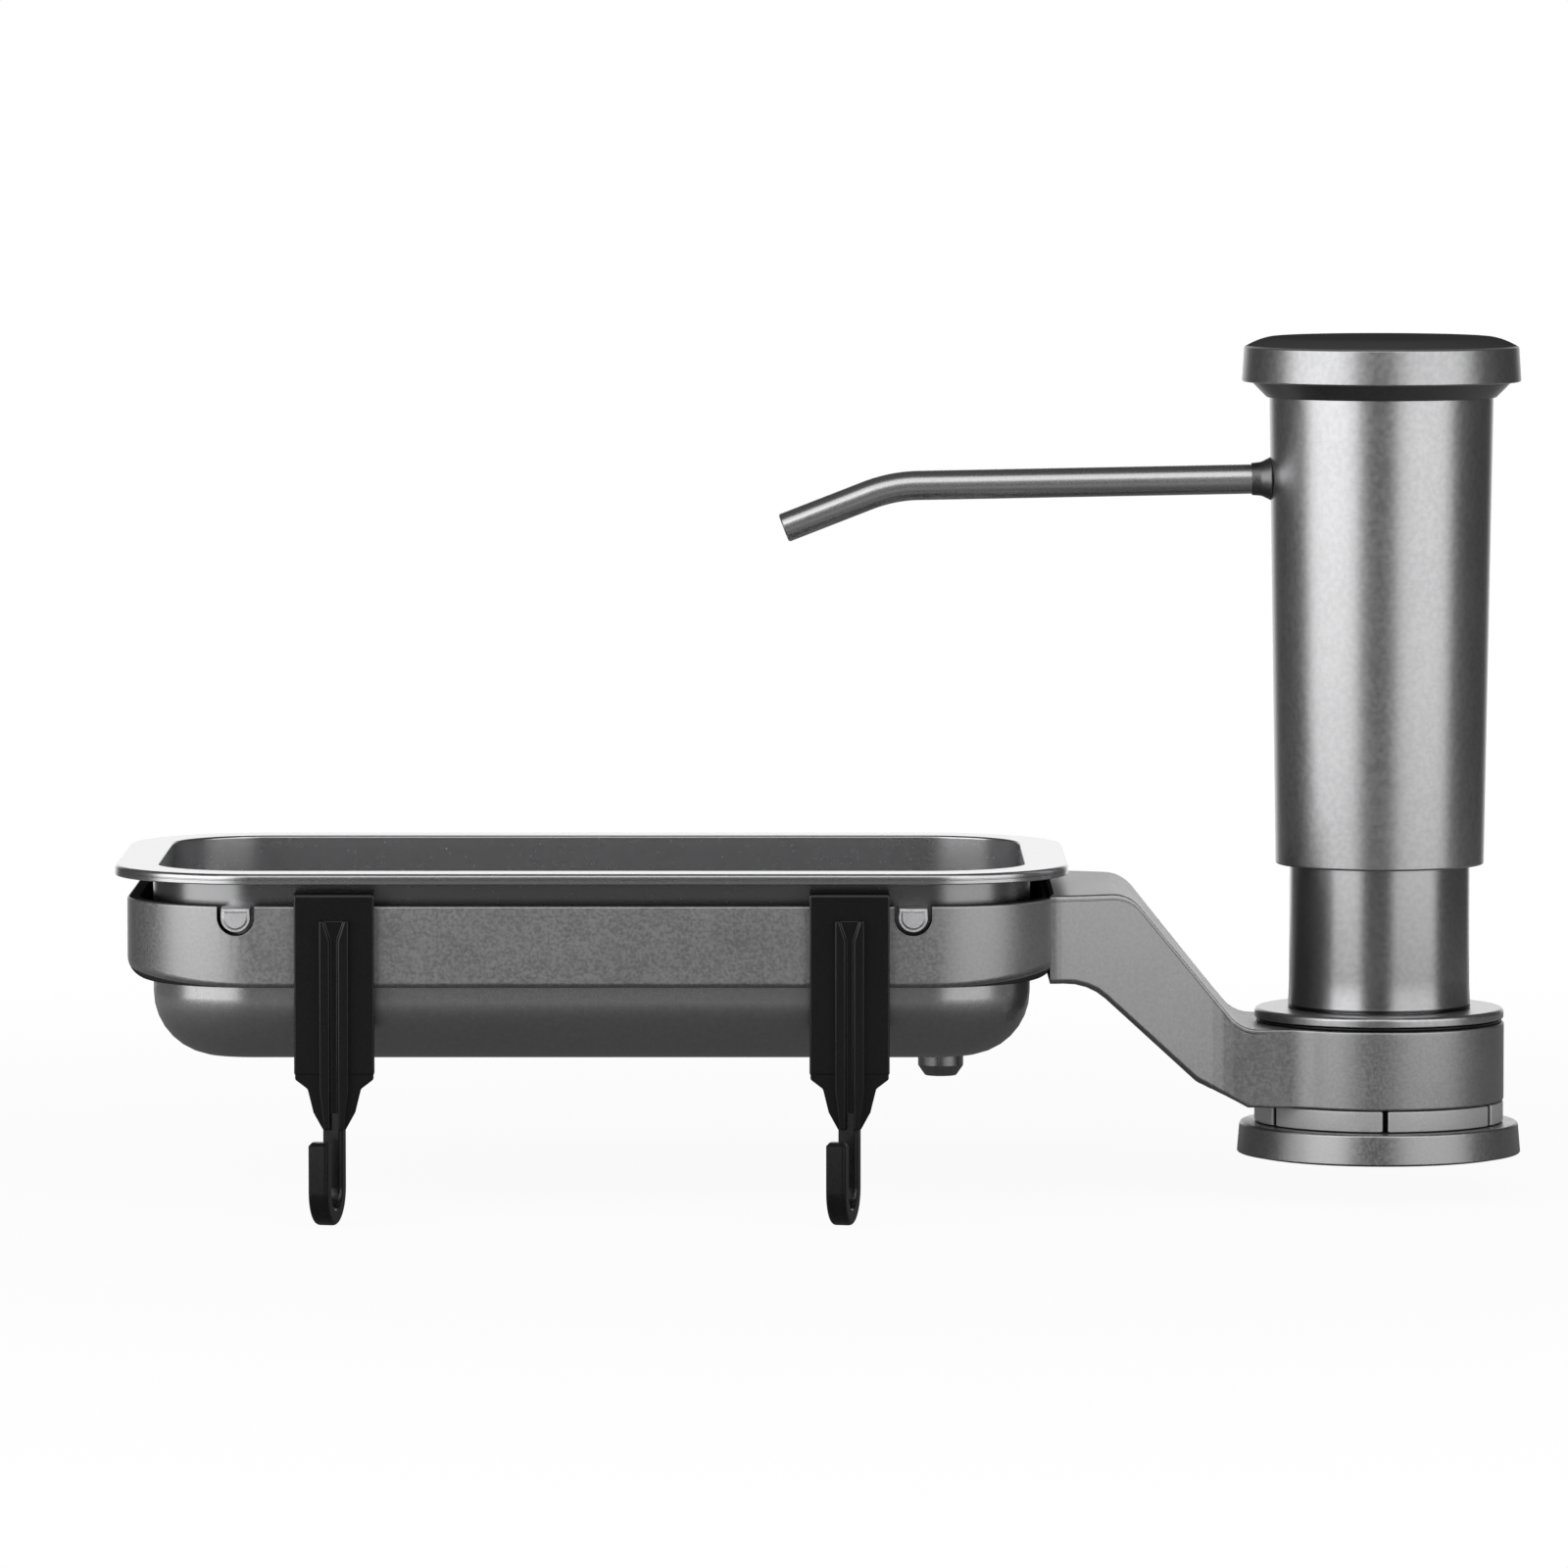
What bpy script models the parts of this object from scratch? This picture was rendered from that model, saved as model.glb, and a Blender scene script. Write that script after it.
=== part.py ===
# Sink-mounted soap dispenser with a swivelling sponge rack.
# Lengths are in metres. The origin is the centre of the deck face, on the dispenser's axis.
# +Z is up, +X points away from the rack, and -Y points to the person at the sink.

from math import asin, atan2, ceil, cos, pi, radians, sin, sqrt, tan

import bmesh
import bpy
from mathutils import Matrix, Vector

MM = 0.001

# Clearances
SEAT_GAP = 0.25 * MM
SLIP_GAP = 0.3 * MM
GUIDE_GAP = 0.3 * MM
# How far a cutter or a form to join runs past what it meets
CUT_MARGIN = 5.0 * MM

# Facets of round pieces: those that show, the hidden ones, and the small ones
SHOWN_FACETS = 48
HIDDEN_FACETS = 24
SMALL_FACETS = 16
STUD_FACETS = 12

# Base disc and its gasket
GASKET_PROUD = 0.4 * MM
GASKET_THICKNESS = 1.8 * MM
BASE_PAST_COLLAR = 3.9 * MM
BASE_RIM = 2.0 * MM
BASE_FLARE = 0.6 * MM
BASE_HEIGHT = 7.0 * MM
BASE_WEB = 2.0 * MM
BASE_BEVEL = 0.6 * MM
NUT_RECESS_ROOM = 3.2 * MM

# Threaded shank and the two nuts that clamp the stack
SHANK_RADIUS = 14.0 * MM
SHANK_WALL = 2.0 * MM
SHANK_BOTTOM = 1.0 * MM
SHANK_ABOVE_NUT = 1.0 * MM
LOCK_NUT_WALL = 3.7 * MM
LOCK_NUT_HEIGHT = 3.2 * MM
TOP_NUT_WALL = 1.7 * MM
TOP_NUT_HEIGHT = 5.0 * MM

# Ring of pads
PAD_COUNT = 6
PAD_STEPS = 6
PAD_INSET = 0.1 * MM
PAD_HEIGHT = 4.7 * MM
PAD_SLOT_WIDTH = 1.0 * MM
PAD_SLOT_DEPTH = 6.0 * MM

# Collar, its bush and the washer above it
COLLAR_PAST_NECK = 8.0 * MM
COLLAR_HEIGHT = 17.9 * MM
COLLAR_BUSH_WALL = 1.6 * MM
WASHER_INSET = 0.5 * MM
WASHER_THICKNESS = 0.5 * MM

# Neck
FLANGE_INSET = 0.1 * MM
FLANGE_THICKNESS = 2.6 * MM
FLANGE_BEVEL = 0.5 * MM
FLANGE_BOSS_HEIGHT = 7.2 * MM
NECK_NUT_ROOM = 1.0 * MM
NECK_WALL = 1.2 * MM
NECK_LENGTH = 73.7 * MM
NECK_FOOT_FLARE = 0.9 * MM
NECK_FOOT_HEIGHT = 4.0 * MM

# Pump closure, cylinder and inlet valve
CLOSURE_RIM = 2.5 * MM
CLOSURE_PLUG = 10.0 * MM
CLOSURE_SOCKET_DEPTH = 8.0 * MM
SEAL_SECTION = 1.0 * MM
SEAL_SIDES = 6
SEAL_GROOVE_DEPTH = 2.3 * MM
SEAL_BELOW_RIM = 6.0 * MM
CYLINDER_RADIUS = 10.0 * MM
CYLINDER_WALL = 1.5 * MM
CYLINDER_FLOOR = 2.0 * MM
CYLINDER_SKIRT = 4.0 * MM
CYLINDER_SKIRT_WALL = 1.7 * MM
VALVE_WALL = 1.8 * MM
VALVE_CHAMBER_DEPTH = 4.7 * MM
VALVE_SEAT_DEPTH = 2.5 * MM
VALVE_WAIST = 2.5 * MM
BALL_OVER_STEM_BORE = 0.4 * MM
BALL_OVER_PORT = 0.5 * MM
BALL_OVER_SEAT = 0.7 * MM
BALL_ROOM = 0.8 * MM
BALL_FACETS = 12
BALL_BANDS = 8
SUCTION_RADIUS = 3.5 * MM
SUCTION_WALL = 1.2 * MM
SUCTION_GRIP = 8.0 * MM
SUCTION_BOTTOM = 3.0 * MM
BARB_HEIGHT = 3.0 * MM
BARB_COUNT = 3
BARB_STEP = 0.3 * MM
BARB_PROUD = 0.7 * MM

# Piston stem, which the head sits on, and the return spring
STROKE = 24.0 * MM
STROKE_MARGIN = 4.0 * MM
STEM_BORE = 2.0 * MM
STEM_WALL = 2.0 * MM
PISTON_STOP_ROOM = 2.0 * MM
PISTON_STOP_HEIGHT = 1.5 * MM
PISTON_FOOT_HEIGHT = 2.0 * MM
PISTON_TAIL = 2.0 * MM
PISTON_SEAL_HEIGHT = 4.0 * MM
SPRING_PRESSED_LENGTH = 11.6 * MM
SPRING_ROOM = 2.4 * MM
SPRING_WIRE_RADIUS = 0.6 * MM
SPRING_TURNS = 6.5
SPRING_POINTS_PER_TURN = 10

# Head core
CORE_PAST_SPRING = 1.4 * MM
STEM_SOCKET_DEPTH = 6.3 * MM
OUTLET_CHAMBER_HEIGHT = 6.0 * MM
CORE_WEB_THICKNESS = 4.5 * MM
CORE_WEB_ABOVE_BOSS = 2.4 * MM
SPOUT_BOSS_WALL = 2.3 * MM
SPOUT_BOSS_SETBACK = 0.6 * MM

# Barrel and its bush
BARREL_WIDENING = 1.8 * MM
BARREL_WALL = 1.5 * MM
BARREL_ABOVE_FLANGE = 8.75 * MM
BARREL_BEVEL = 0.6 * MM
BARREL_BUSH_WALL = 1.1 * MM
BARREL_BUSH_LENGTH = 10.0 * MM
BARREL_BUSH_INSET = 0.6 * MM

# Press cap and its insert
CAP_PAST_BARREL = 6.3 * MM
CAP_TAPER = 0.5 * MM
CAP_BAND = 7.2 * MM
CAP_CROWN = 2.7 * MM
CAP_CROWN_WIDTH = 6.5 * MM
CAP_CROWN_POWER = 1.6
CAP_WALL = 1.5 * MM
CAP_ABOVE_BARREL = 1.8 * MM
CAP_INSERT_OVERLAP = 2.1 * MM
CAP_INSERT_PLATE = 4.0 * MM
CAP_SPIGOT_WALL = 2.0 * MM
CAP_SPIGOT_LENGTH = 7.2 * MM
CAP_CROWN_STEPS = 4
CAP_LIP = 0.35 * MM

# Spout: it leaves the barrel nearly level, and bends down near its end
SPOUT_RADIUS = 3.4 * MM
SPOUT_WALL = 1.2 * MM
SPOUT_GRIP = 9.0 * MM
SPOUT_REACH = 113.2 * MM
SPOUT_TIP_LENGTH = 25.4 * MM
SPOUT_SLOPE = radians(1.1)
SPOUT_TIP_SLOPE = radians(20.0)
SPOUT_BEND_RADIUS = 46.0 * MM
SPOUT_BEND_STEPS = 6
SPOUT_SIDES = 16
SPOUT_COLLAR_LENGTH = 6.5 * MM
SPOUT_COLLAR_FLARE = 1.6 * MM
SPOUT_COLLAR_CONE = 3.5 * MM
SPOUT_COLLAR_WALL = 0.6 * MM

# Rack plan: every outline of ring and tray runs at one distance round this core rectangle
RACK_CORE_X = 76.25 * MM
RACK_CORE_Y = 28.0 * MM
CORNER_STEPS = 6

# Ring
RING_WALL = 3.0 * MM
RING_ABOVE_COLLAR = 31.3 * MM
RING_HEIGHT = 18.5 * MM
RING_EDGE_RADIUS = 5.0 * MM
RING_EDGE_STEPS = 3
RING_LEDGE_THICKNESS = 3.0 * MM
RING_BEVEL = 0.5 * MM

# Tray
TRAY_RADIUS = 23.3 * MM
TRAY_WALL = 1.2 * MM
TRAY_HEIGHT = 43.5 * MM
TRAY_EDGE_RADIUS = 14.5 * MM
TRAY_RIM_PAST_RING = 2.8 * MM
TRAY_ABOVE_HOOKS = 1.8 * MM
TRAY_LIP_DROP = 2.4 * MM
TRAY_RIM_ROUND = 0.6 * MM
TRAY_MOUTH_ROUND = 1.6 * MM
TRAY_EDGE_STEPS = 5
TRAY_MOUTH_STEPS = 3

# Pegs on the tray, in notches of the ring. The left ones stand past the core's end, in the corner.
PEG_LEFT_PAST_CORE = 3.25 * MM
PEG_RIGHT_INSIDE_CORE = 3.55 * MM
PEG_STEPS = 6
PEG_WIDTH = 7.0 * MM
PEG_HEIGHT = 5.5 * MM
PEG_BELOW_RING_TOP = 0.5 * MM
PEG_PROUD = 0.8 * MM
PEG_STUD_RADIUS = 1.8 * MM
PEG_NOTCH_GAP = 0.5 * MM

# Drain nozzle
NOZZLE_INSIDE_FLAT = 5.35 * MM
NOZZLE_RADIUS = 5.2 * MM
NOZZLE_TIP_TAPER = 1.6 * MM
NOZZLE_DROP = 7.7 * MM
NOZZLE_TIP_HEIGHT = 2.3 * MM
NOZZLE_BORE = 2.2 * MM
NOZZLE_HEAD_FLARE = 1.8 * MM
NOZZLE_HEAD_HEIGHT = 1.0 * MM
DRAIN_GASKET_THICKNESS = 0.8 * MM

# Arm between collar and ring
ARM_REACH = 46.35 * MM
ARM_SIDE_PAST_CORE = 8.0 * MM
ARM_FLARE_FROM_RING = 0.5 * MM
ARM_FLARE_RADIUS = 10.0 * MM
ARM_WAIST_INSIDE_COLLAR = 6.7 * MM
ARM_WAIST_FROM_COLLAR = 9.3 * MM
ARM_WAIST_RADIUS = 20.0 * MM
ARM_NECK_RADIUS = 6.0 * MM
ARM_NECK_STEPS = 4
ARM_TOP_ABOVE_RING = 0.5 * MM
ARM_BELOW_RING = 1.1 * MM
ARM_SHOULDER_FROM_RING = 16.7 * MM
ARM_UNDER_SHOULDER_FROM_RING = 7.65 * MM
ARM_HEEL_FROM_COLLAR = 3.9 * MM
ARM_KNEE_FROM_COLLAR = 13.7 * MM
ARM_KNEE_RISE = 6.1 * MM
ARM_UNDER_HEEL_FROM_COLLAR = 2.3 * MM
ARM_SHOULDER_RADIUS = 8.0 * MM
ARM_HEEL_RADIUS = 8.0 * MM
ARM_UNDER_SHOULDER_RADIUS = 14.0 * MM
ARM_KNEE_RADIUS = 5.0 * MM
ARC_STEP = radians(9.0)
COLLAR_ARC_STEPS = 32

# Hooks that straddle the ring
HOOK_LEFT_INSIDE_CORE = 18.95 * MM
HOOK_RIGHT_INSIDE_CORE = 17.85 * MM
HOOK_WIDTH = 18.0 * MM
HOOK_STRAP = 2.6 * MM
HOOK_BRIDGE = 2.9 * MM
HOOK_CLIP_LENGTH = 12.0 * MM
HOOK_CLIP_THICKNESS = 1.6 * MM
HOOK_CLIP_ROOM = 1.0 * MM
HOOK_RIB_WIDTH = 6.6 * MM
HOOK_RIB_PROUD = 1.8 * MM
HOOK_RIB_TOP_DROP = 3.0 * MM
HOOK_GROOVE_WIDTH = 2.2 * MM
HOOK_GROOVE_DEPTH = 1.4 * MM
HOOK_GROOVE_MOUTH = 5.8 * MM
HOOK_GROOVE_MOUTH_HEIGHT = 4.5 * MM
HOOK_SHOULDER_BELOW_RING = 19.3 * MM
HOOK_STEP_HALF_WIDTH = 6.0 * MM
HOOK_STEP_DROP = 3.2 * MM
HOOK_WAIST_HALF_WIDTH = 4.7 * MM
HOOK_WAIST_DROP = 8.5 * MM
HOOK_NECK_DROP = 12.5 * MM
HOOK_BAR_WIDTH = 4.6 * MM
HOOK_BAR_THICKNESS = 4.0 * MM
HOOK_BAR_CORNER = 0.8 * MM
HOOK_SKIN = 0.2 * MM
HOOK_BEND_RADIUS = 6.0 * MM
HOOK_BEND_BELOW_SHOULDER = 25.3 * MM
HOOK_TIP_ABOVE_BEND = 11.3 * MM
HOOK_TURN = radians(13.5)
HOOK_BEND_STEPS = 8

# Radii of the stack, worked out from the shank outwards
shank_hole = SHANK_RADIUS + SLIP_GAP
lock_nut_flats = 2 * (shank_hole + LOCK_NUT_WALL)
top_nut_flats = 2 * (shank_hole + TOP_NUT_WALL)
neck_inner_radius = top_nut_flats / 2 / cos(pi / 6) + NECK_NUT_ROOM
neck_radius = neck_inner_radius + NECK_WALL
collar_radius = neck_radius + COLLAR_PAST_NECK
base_radius = collar_radius + BASE_PAST_COLLAR
nut_recess_radius = lock_nut_flats / 2 / cos(pi / 6) + NUT_RECESS_ROOM
gasket_inner_radius = nut_recess_radius + SLIP_GAP
rebate_radius = base_radius - BASE_RIM
gasket_outer_radius = rebate_radius - SLIP_GAP
barrel_bottom_radius = neck_radius + BARREL_BUSH_WALL + BARREL_WALL + 2 * SLIP_GAP
barrel_top_radius = barrel_bottom_radius + BARREL_WIDENING
cap_radius = barrel_top_radius + CAP_PAST_BARREL

# Radii of the pump
stem_radius = STEM_BORE + STEM_WALL
stem_hole = stem_radius + SLIP_GAP
ball_radius = STEM_BORE + BALL_OVER_STEM_BORE
valve_chamber_radius = ball_radius + BALL_ROOM
valve_seat_radius = ball_radius - BALL_OVER_SEAT
cylinder_port = ball_radius - BALL_OVER_PORT
cylinder_bore = CYLINDER_RADIUS - CYLINDER_WALL
skirt_bore = CYLINDER_RADIUS - CYLINDER_SKIRT_WALL
piston_stop_radius = cylinder_bore - PISTON_STOP_ROOM
suction_hole = SUCTION_RADIUS + SLIP_GAP
spring_radius = stem_radius + SPRING_ROOM + SPRING_WIRE_RADIUS
core_radius = spring_radius + SPRING_WIRE_RADIUS + CORE_PAST_SPRING
spout_hole = SPOUT_RADIUS + SLIP_GAP
spout_boss_radius = spout_hole + SPOUT_BOSS_WALL
spout_bore = SPOUT_RADIUS - SPOUT_WALL

# Heights of the fixed stack, from the deck up
base_bottom = GASKET_PROUD
base_top = base_bottom + BASE_HEIGHT
web_bottom = base_top - BASE_WEB
gasket_ceiling = GASKET_THICKNESS + SEAT_GAP
lock_nut_top = web_bottom - SEAT_GAP
pads_bottom = base_top + SEAT_GAP
pads_top = pads_bottom + PAD_HEIGHT
collar_bottom = pads_top + SEAT_GAP
collar_top = collar_bottom + COLLAR_HEIGHT
washer_bottom = collar_top + SEAT_GAP
washer_top = washer_bottom + WASHER_THICKNESS
flange_bottom = washer_top + SEAT_GAP
flange_top = flange_bottom + FLANGE_THICKNESS
boss_top = flange_top + FLANGE_BOSS_HEIGHT
top_nut_bottom = boss_top + SEAT_GAP
top_nut_top = top_nut_bottom + TOP_NUT_HEIGHT
shank_top = top_nut_top + SHANK_ABOVE_NUT
neck_bottom = flange_top + SEAT_GAP
neck_top = neck_bottom + NECK_LENGTH

# Heights of the pump, from the closure down
closure_rim_bottom = neck_top + SEAT_GAP
closure_top = closure_rim_bottom + CLOSURE_RIM
closure_bottom = closure_rim_bottom - CLOSURE_PLUG
socket_ceiling = closure_bottom + CLOSURE_SOCKET_DEPTH
cylinder_top = socket_ceiling - SEAT_GAP
stop_top = socket_ceiling - SEAT_GAP
stop_bottom = stop_top - PISTON_STOP_HEIGHT
piston_seal_top = stop_bottom - SEAT_GAP
piston_seal_bottom = piston_seal_top - PISTON_SEAL_HEIGHT
piston_foot_top = piston_seal_bottom - SEAT_GAP
piston_foot_bottom = piston_foot_top - PISTON_FOOT_HEIGHT
stem_bottom = piston_foot_bottom - PISTON_TAIL
cylinder_floor_top = stem_bottom - STROKE - STROKE_MARGIN
cylinder_floor_bottom = cylinder_floor_top - CYLINDER_FLOOR
cylinder_bottom = cylinder_floor_bottom - CYLINDER_SKIRT
valve_top = cylinder_floor_bottom - SEAT_GAP
chamber_floor = valve_top - VALVE_CHAMBER_DEPTH
seat_bottom = chamber_floor - VALVE_SEAT_DEPTH
suction_ceiling = seat_bottom - VALVE_WAIST
suction_top = suction_ceiling - SEAT_GAP
valve_bottom = suction_ceiling - SUCTION_GRIP

# Heights of the head, from the closure up
core_bottom = closure_top + STROKE + SPRING_PRESSED_LENGTH
chamber_bottom = core_bottom + STEM_SOCKET_DEPTH
stem_top = chamber_bottom - SEAT_GAP
chamber_top = chamber_bottom + OUTLET_CHAMBER_HEIGHT
spout_z = chamber_bottom + OUTLET_CHAMBER_HEIGHT / 2
core_web_bottom = spout_z + spout_boss_radius + CORE_WEB_ABOVE_BOSS
core_web_top = core_web_bottom + CORE_WEB_THICKNESS
spigot_bottom = core_web_top + SEAT_GAP
barrel_top = spigot_bottom + CAP_SPIGOT_LENGTH
barrel_bottom = flange_top + STROKE + BARREL_ABOVE_FLANGE
groove_ceiling = barrel_top + SEAT_GAP
cap_bottom = barrel_top + CAP_ABOVE_BARREL
cap_band_top = cap_bottom + CAP_BAND
cap_top = cap_band_top + CAP_CROWN

# Places of the rack, from the collar outwards and up
ring_inner_radius = TRAY_RADIUS + HOOK_CLIP_ROOM + HOOK_CLIP_THICKNESS + GUIDE_GAP
ring_radius = ring_inner_radius + RING_WALL
ring_ledge_radius = TRAY_RADIUS + 2 * GUIDE_GAP
ring_end_x = -(collar_radius + ARM_REACH)
rack_centre_x = ring_end_x - ring_radius - RACK_CORE_X
ring_face_y = RACK_CORE_Y + ring_radius
ring_top = collar_top + RING_ABOVE_COLLAR
ring_bottom = ring_top - RING_HEIGHT
hook_top = ring_top + GUIDE_GAP + HOOK_BRIDGE
tray_top = hook_top + TRAY_ABOVE_HOOKS + TRAY_LIP_DROP
tray_bottom = tray_top - TRAY_HEIGHT
tray_rim_radius = ring_radius + TRAY_RIM_PAST_RING
nozzle_x = rack_centre_x + RACK_CORE_X + TRAY_RADIUS - TRAY_EDGE_RADIUS - NOZZLE_INSIDE_FLAT
peg_places = {
    "left": rack_centre_x - RACK_CORE_X - PEG_LEFT_PAST_CORE,
    "right": rack_centre_x + RACK_CORE_X - PEG_RIGHT_INSIDE_CORE,
}
peg_top = ring_top - PEG_BELOW_RING_TOP
hook_places = {
    "left": rack_centre_x - RACK_CORE_X + HOOK_LEFT_INSIDE_CORE,
    "right": rack_centre_x + RACK_CORE_X - HOOK_RIGHT_INSIDE_CORE,
}
hook_shoulder_z = ring_bottom - HOOK_SHOULDER_BELOW_RING
hook_bend_z = hook_shoulder_z - HOOK_BEND_BELOW_SHOULDER


def barrel_outer_radius(z):
    """Outer radius of the barrel at height z: it widens evenly to its top."""
    share = (z - barrel_bottom) / (barrel_top - barrel_bottom)
    return barrel_bottom_radius + share * BARREL_WIDENING


def barrel_inner_radius(z):
    return barrel_outer_radius(z) - BARREL_WALL


def clear_scene():
    for thing in list(bpy.data.objects):
        bpy.data.objects.remove(thing, do_unlink=True)


def make_material(name, colour, roughness, metallic):
    finish = bpy.data.materials.new(name)
    finish.use_nodes = True
    shader = finish.node_tree.nodes["Principled BSDF"]
    shader.inputs["Base Color"].default_value = (*colour, 1.0)
    shader.inputs["Roughness"].default_value = roughness
    shader.inputs["Metallic"].default_value = metallic
    finish.diffuse_color = (*colour, 1.0)
    return finish


def make_pivot(name, location, parent=None):
    """An empty on a joint's axis, which carries the pieces of one moving body."""
    pivot = bpy.data.objects.new(name, None)
    pivot.empty_display_size = 0.01
    bpy.context.collection.objects.link(pivot)
    pivot.parent = parent
    carried = Vector(location)
    if parent is not None:
        carried -= world_place(parent)
    pivot.location = carried
    return pivot


def world_place(thing):
    """World position of an object whose parents are all unrotated."""
    place = Vector(thing.location)
    while thing.parent is not None:
        thing = thing.parent
        place += thing.location
    return place


def make_object(name, body, finish, parent=None):
    """Turn a bmesh drawn in world coordinates into an object that its parent carries."""
    bmesh.ops.recalc_face_normals(body, faces=body.faces)
    origin = world_place(parent) if parent is not None else Vector((0.0, 0.0, 0.0))
    bmesh.ops.translate(body, verts=body.verts, vec=-origin)
    mesh = bpy.data.meshes.new(name)
    body.to_mesh(mesh)
    body.free()
    mesh.shade_smooth()
    mesh.set_sharp_from_angle(angle=radians(30.0))
    if finish is not None:
        mesh.materials.append(finish)
    thing = bpy.data.objects.new(name, mesh)
    bpy.context.collection.objects.link(thing)
    thing.parent = parent
    return thing


def make_tool(name, body, parent=None):
    """A cutter or a form to join, which isn't a piece of the object."""
    tool = make_object(name, body, None, parent)
    tool.hide_render = True
    tool.display_type = "WIRE"
    return tool


def combine(thing, tool, operation):
    step = thing.modifiers.new(tool.name, "BOOLEAN")
    step.object = tool
    step.operation = operation
    step.solver = "EXACT"


def turned(profile, facets, closed=True):
    """Spin a profile of (radius, height) points round Z. An open one starts and ends on the axis."""
    body = bmesh.new()
    points = [body.verts.new((radius, 0.0, height)) for radius, height in profile]
    edges = [body.edges.new(pair) for pair in zip(points, points[1:])]
    if closed:
        edges.append(body.edges.new((points[-1], points[0])))
    bmesh.ops.spin(body, geom=points + edges, cent=(0, 0, 0), axis=(0, 0, 1),
                   angle=2 * pi, steps=facets, use_duplicate=False)
    bmesh.ops.remove_doubles(body, verts=body.verts, dist=1e-6)
    return body


def prism(outline, start, end, place):
    """Extrude a flat outline from start to end. place(a, b, depth) gives each world point."""
    body = bmesh.new()
    near = [body.verts.new(place(a, b, start)) for a, b in outline]
    far = [body.verts.new(place(a, b, end)) for a, b in outline]
    count = len(outline)
    body.faces.new(near)
    body.faces.new(list(reversed(far)))
    for index in range(count):
        after = (index + 1) % count
        body.faces.new((near[index], near[after], far[after], far[index]))
    return body


def along_x(a, b, depth):
    return (depth, a, b)


def along_y(a, b, depth):
    return (a, depth, b)


def along_z(a, b, depth):
    return (a, b, depth)


def rounded(corners):
    """An outline from (a, b, radius) corners. A radius of 0 leaves a corner sharp."""
    outline = []
    count = len(corners)
    for index, (a, b, radius) in enumerate(corners):
        corner = Vector((a, b))
        if radius == 0:
            outline.append((a, b))
            continue
        before = (Vector(corners[index - 1][:2]) - corner).normalized()
        after = (Vector(corners[(index + 1) % count][:2]) - corner).normalized()
        half = before.angle(after) / 2
        centre = corner + (before + after).normalized() * (radius / sin(half))
        first = corner + before * (radius / tan(half)) - centre
        last = corner + after * (radius / tan(half)) - centre
        sweep = last.angle_signed(first)
        steps = max(2, ceil(abs(sweep) / ARC_STEP))
        start = atan2(first.y, first.x)
        for step in range(steps + 1):
            angle = start + sweep * step / steps
            outline.append((centre.x + radius * cos(angle), centre.y + radius * sin(angle)))
    return outline


def rack_loop(radius, z):
    """A closed loop of points at one distance round the rack's core rectangle."""
    loop = []
    for quarter, (side_x, side_y) in enumerate(((1, 1), (-1, 1), (-1, -1), (1, -1))):
        for step in range(CORNER_STEPS + 1):
            angle = (quarter + step / CORNER_STEPS) * pi / 2
            x = rack_centre_x + side_x * RACK_CORE_X + radius * cos(angle)
            loop.append((x, side_y * RACK_CORE_Y + radius * sin(angle), z))
    return loop


def lofted(loops, closed):
    """Join loops of equal length side by side, into a ring or into a body with two end faces."""
    body = bmesh.new()
    rows = [[body.verts.new(point) for point in loop] for loop in loops]
    pairs = list(zip(rows, rows[1:]))
    if closed:
        pairs.append((rows[-1], rows[0]))
    else:
        body.faces.new(rows[0])
        body.faces.new(list(reversed(rows[-1])))
    for near, far in pairs:
        for index in range(len(near)):
            after = (index + 1) % len(near)
            body.faces.new((near[index], near[after], far[after], far[index]))
    return body


def swept(path, section):
    """Carry a flat section of (side, up) points along a path in a vertical plane."""
    loops = []
    first = (path[-1] - path[0]).cross(Vector((0, 0, 1)))
    if first.length < 1e-9:
        first = (path[1] - path[0]).cross(path[-1] - path[0])
    side = first.normalized()
    for index, point in enumerate(path):
        before = path[max(index - 1, 0)]
        after = path[min(index + 1, len(path) - 1)]
        along = (after - before).normalized()
        up = side.cross(along).normalized()
        loops.append([point + side * a + up * b for a, b in section])
    return lofted(loops, closed=False)


def circle(radius, sides):
    return [(radius * cos(2 * pi * n / sides), radius * sin(2 * pi * n / sides)) for n in range(sides)]


def arc(centre, radius, start, end, steps):
    """Points of an arc in a profile, from one angle to another."""
    points = []
    for step in range(steps + 1):
        angle = start + (end - start) * step / steps
        points.append((centre[0] + radius * cos(angle), centre[1] + radius * sin(angle)))
    return points


def moved_rod(radius, start, end, facets):
    """A round rod between two points."""
    body = bmesh.new()
    run = Vector(end) - Vector(start)
    turn = run.to_track_quat("Z", "Y").to_matrix().to_4x4()
    place = Matrix.Translation((Vector(start) + Vector(end)) / 2) @ turn
    bmesh.ops.create_cone(body, cap_ends=True, segments=facets, radius1=radius, radius2=radius,
                          depth=run.length, matrix=place)
    return body


def hex_nut(flats, hole, bottom, top):
    """A six-sided nut with a round bore. Its flats face every sixty degrees from +X."""
    corner = flats / 2 / cos(pi / 6)
    facets = HIDDEN_FACETS
    loops = []
    for radius, z in ((None, bottom), (None, top), (hole, top), (hole, bottom)):
        loop = []
        for n in range(facets):
            angle = 2 * pi * n / facets
            if radius is None:
                within = (angle + pi / 6) % (pi / 3) - pi / 6
                reach = min(corner, flats / 2 / cos(within))
            else:
                reach = radius
            loop.append((reach * cos(angle), reach * sin(angle), z))
        loops.append(loop)
    return lofted(loops, closed=True)


# The fixed stack, from the deck up

def build_deck_gasket(finish):
    profile = [(gasket_inner_radius, GASKET_THICKNESS), (gasket_outer_radius, GASKET_THICKNESS),
               (gasket_outer_radius, 0.0), (gasket_inner_radius, 0.0)]
    make_object("deck_gasket", turned(profile, SHOWN_FACETS), finish)


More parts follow.
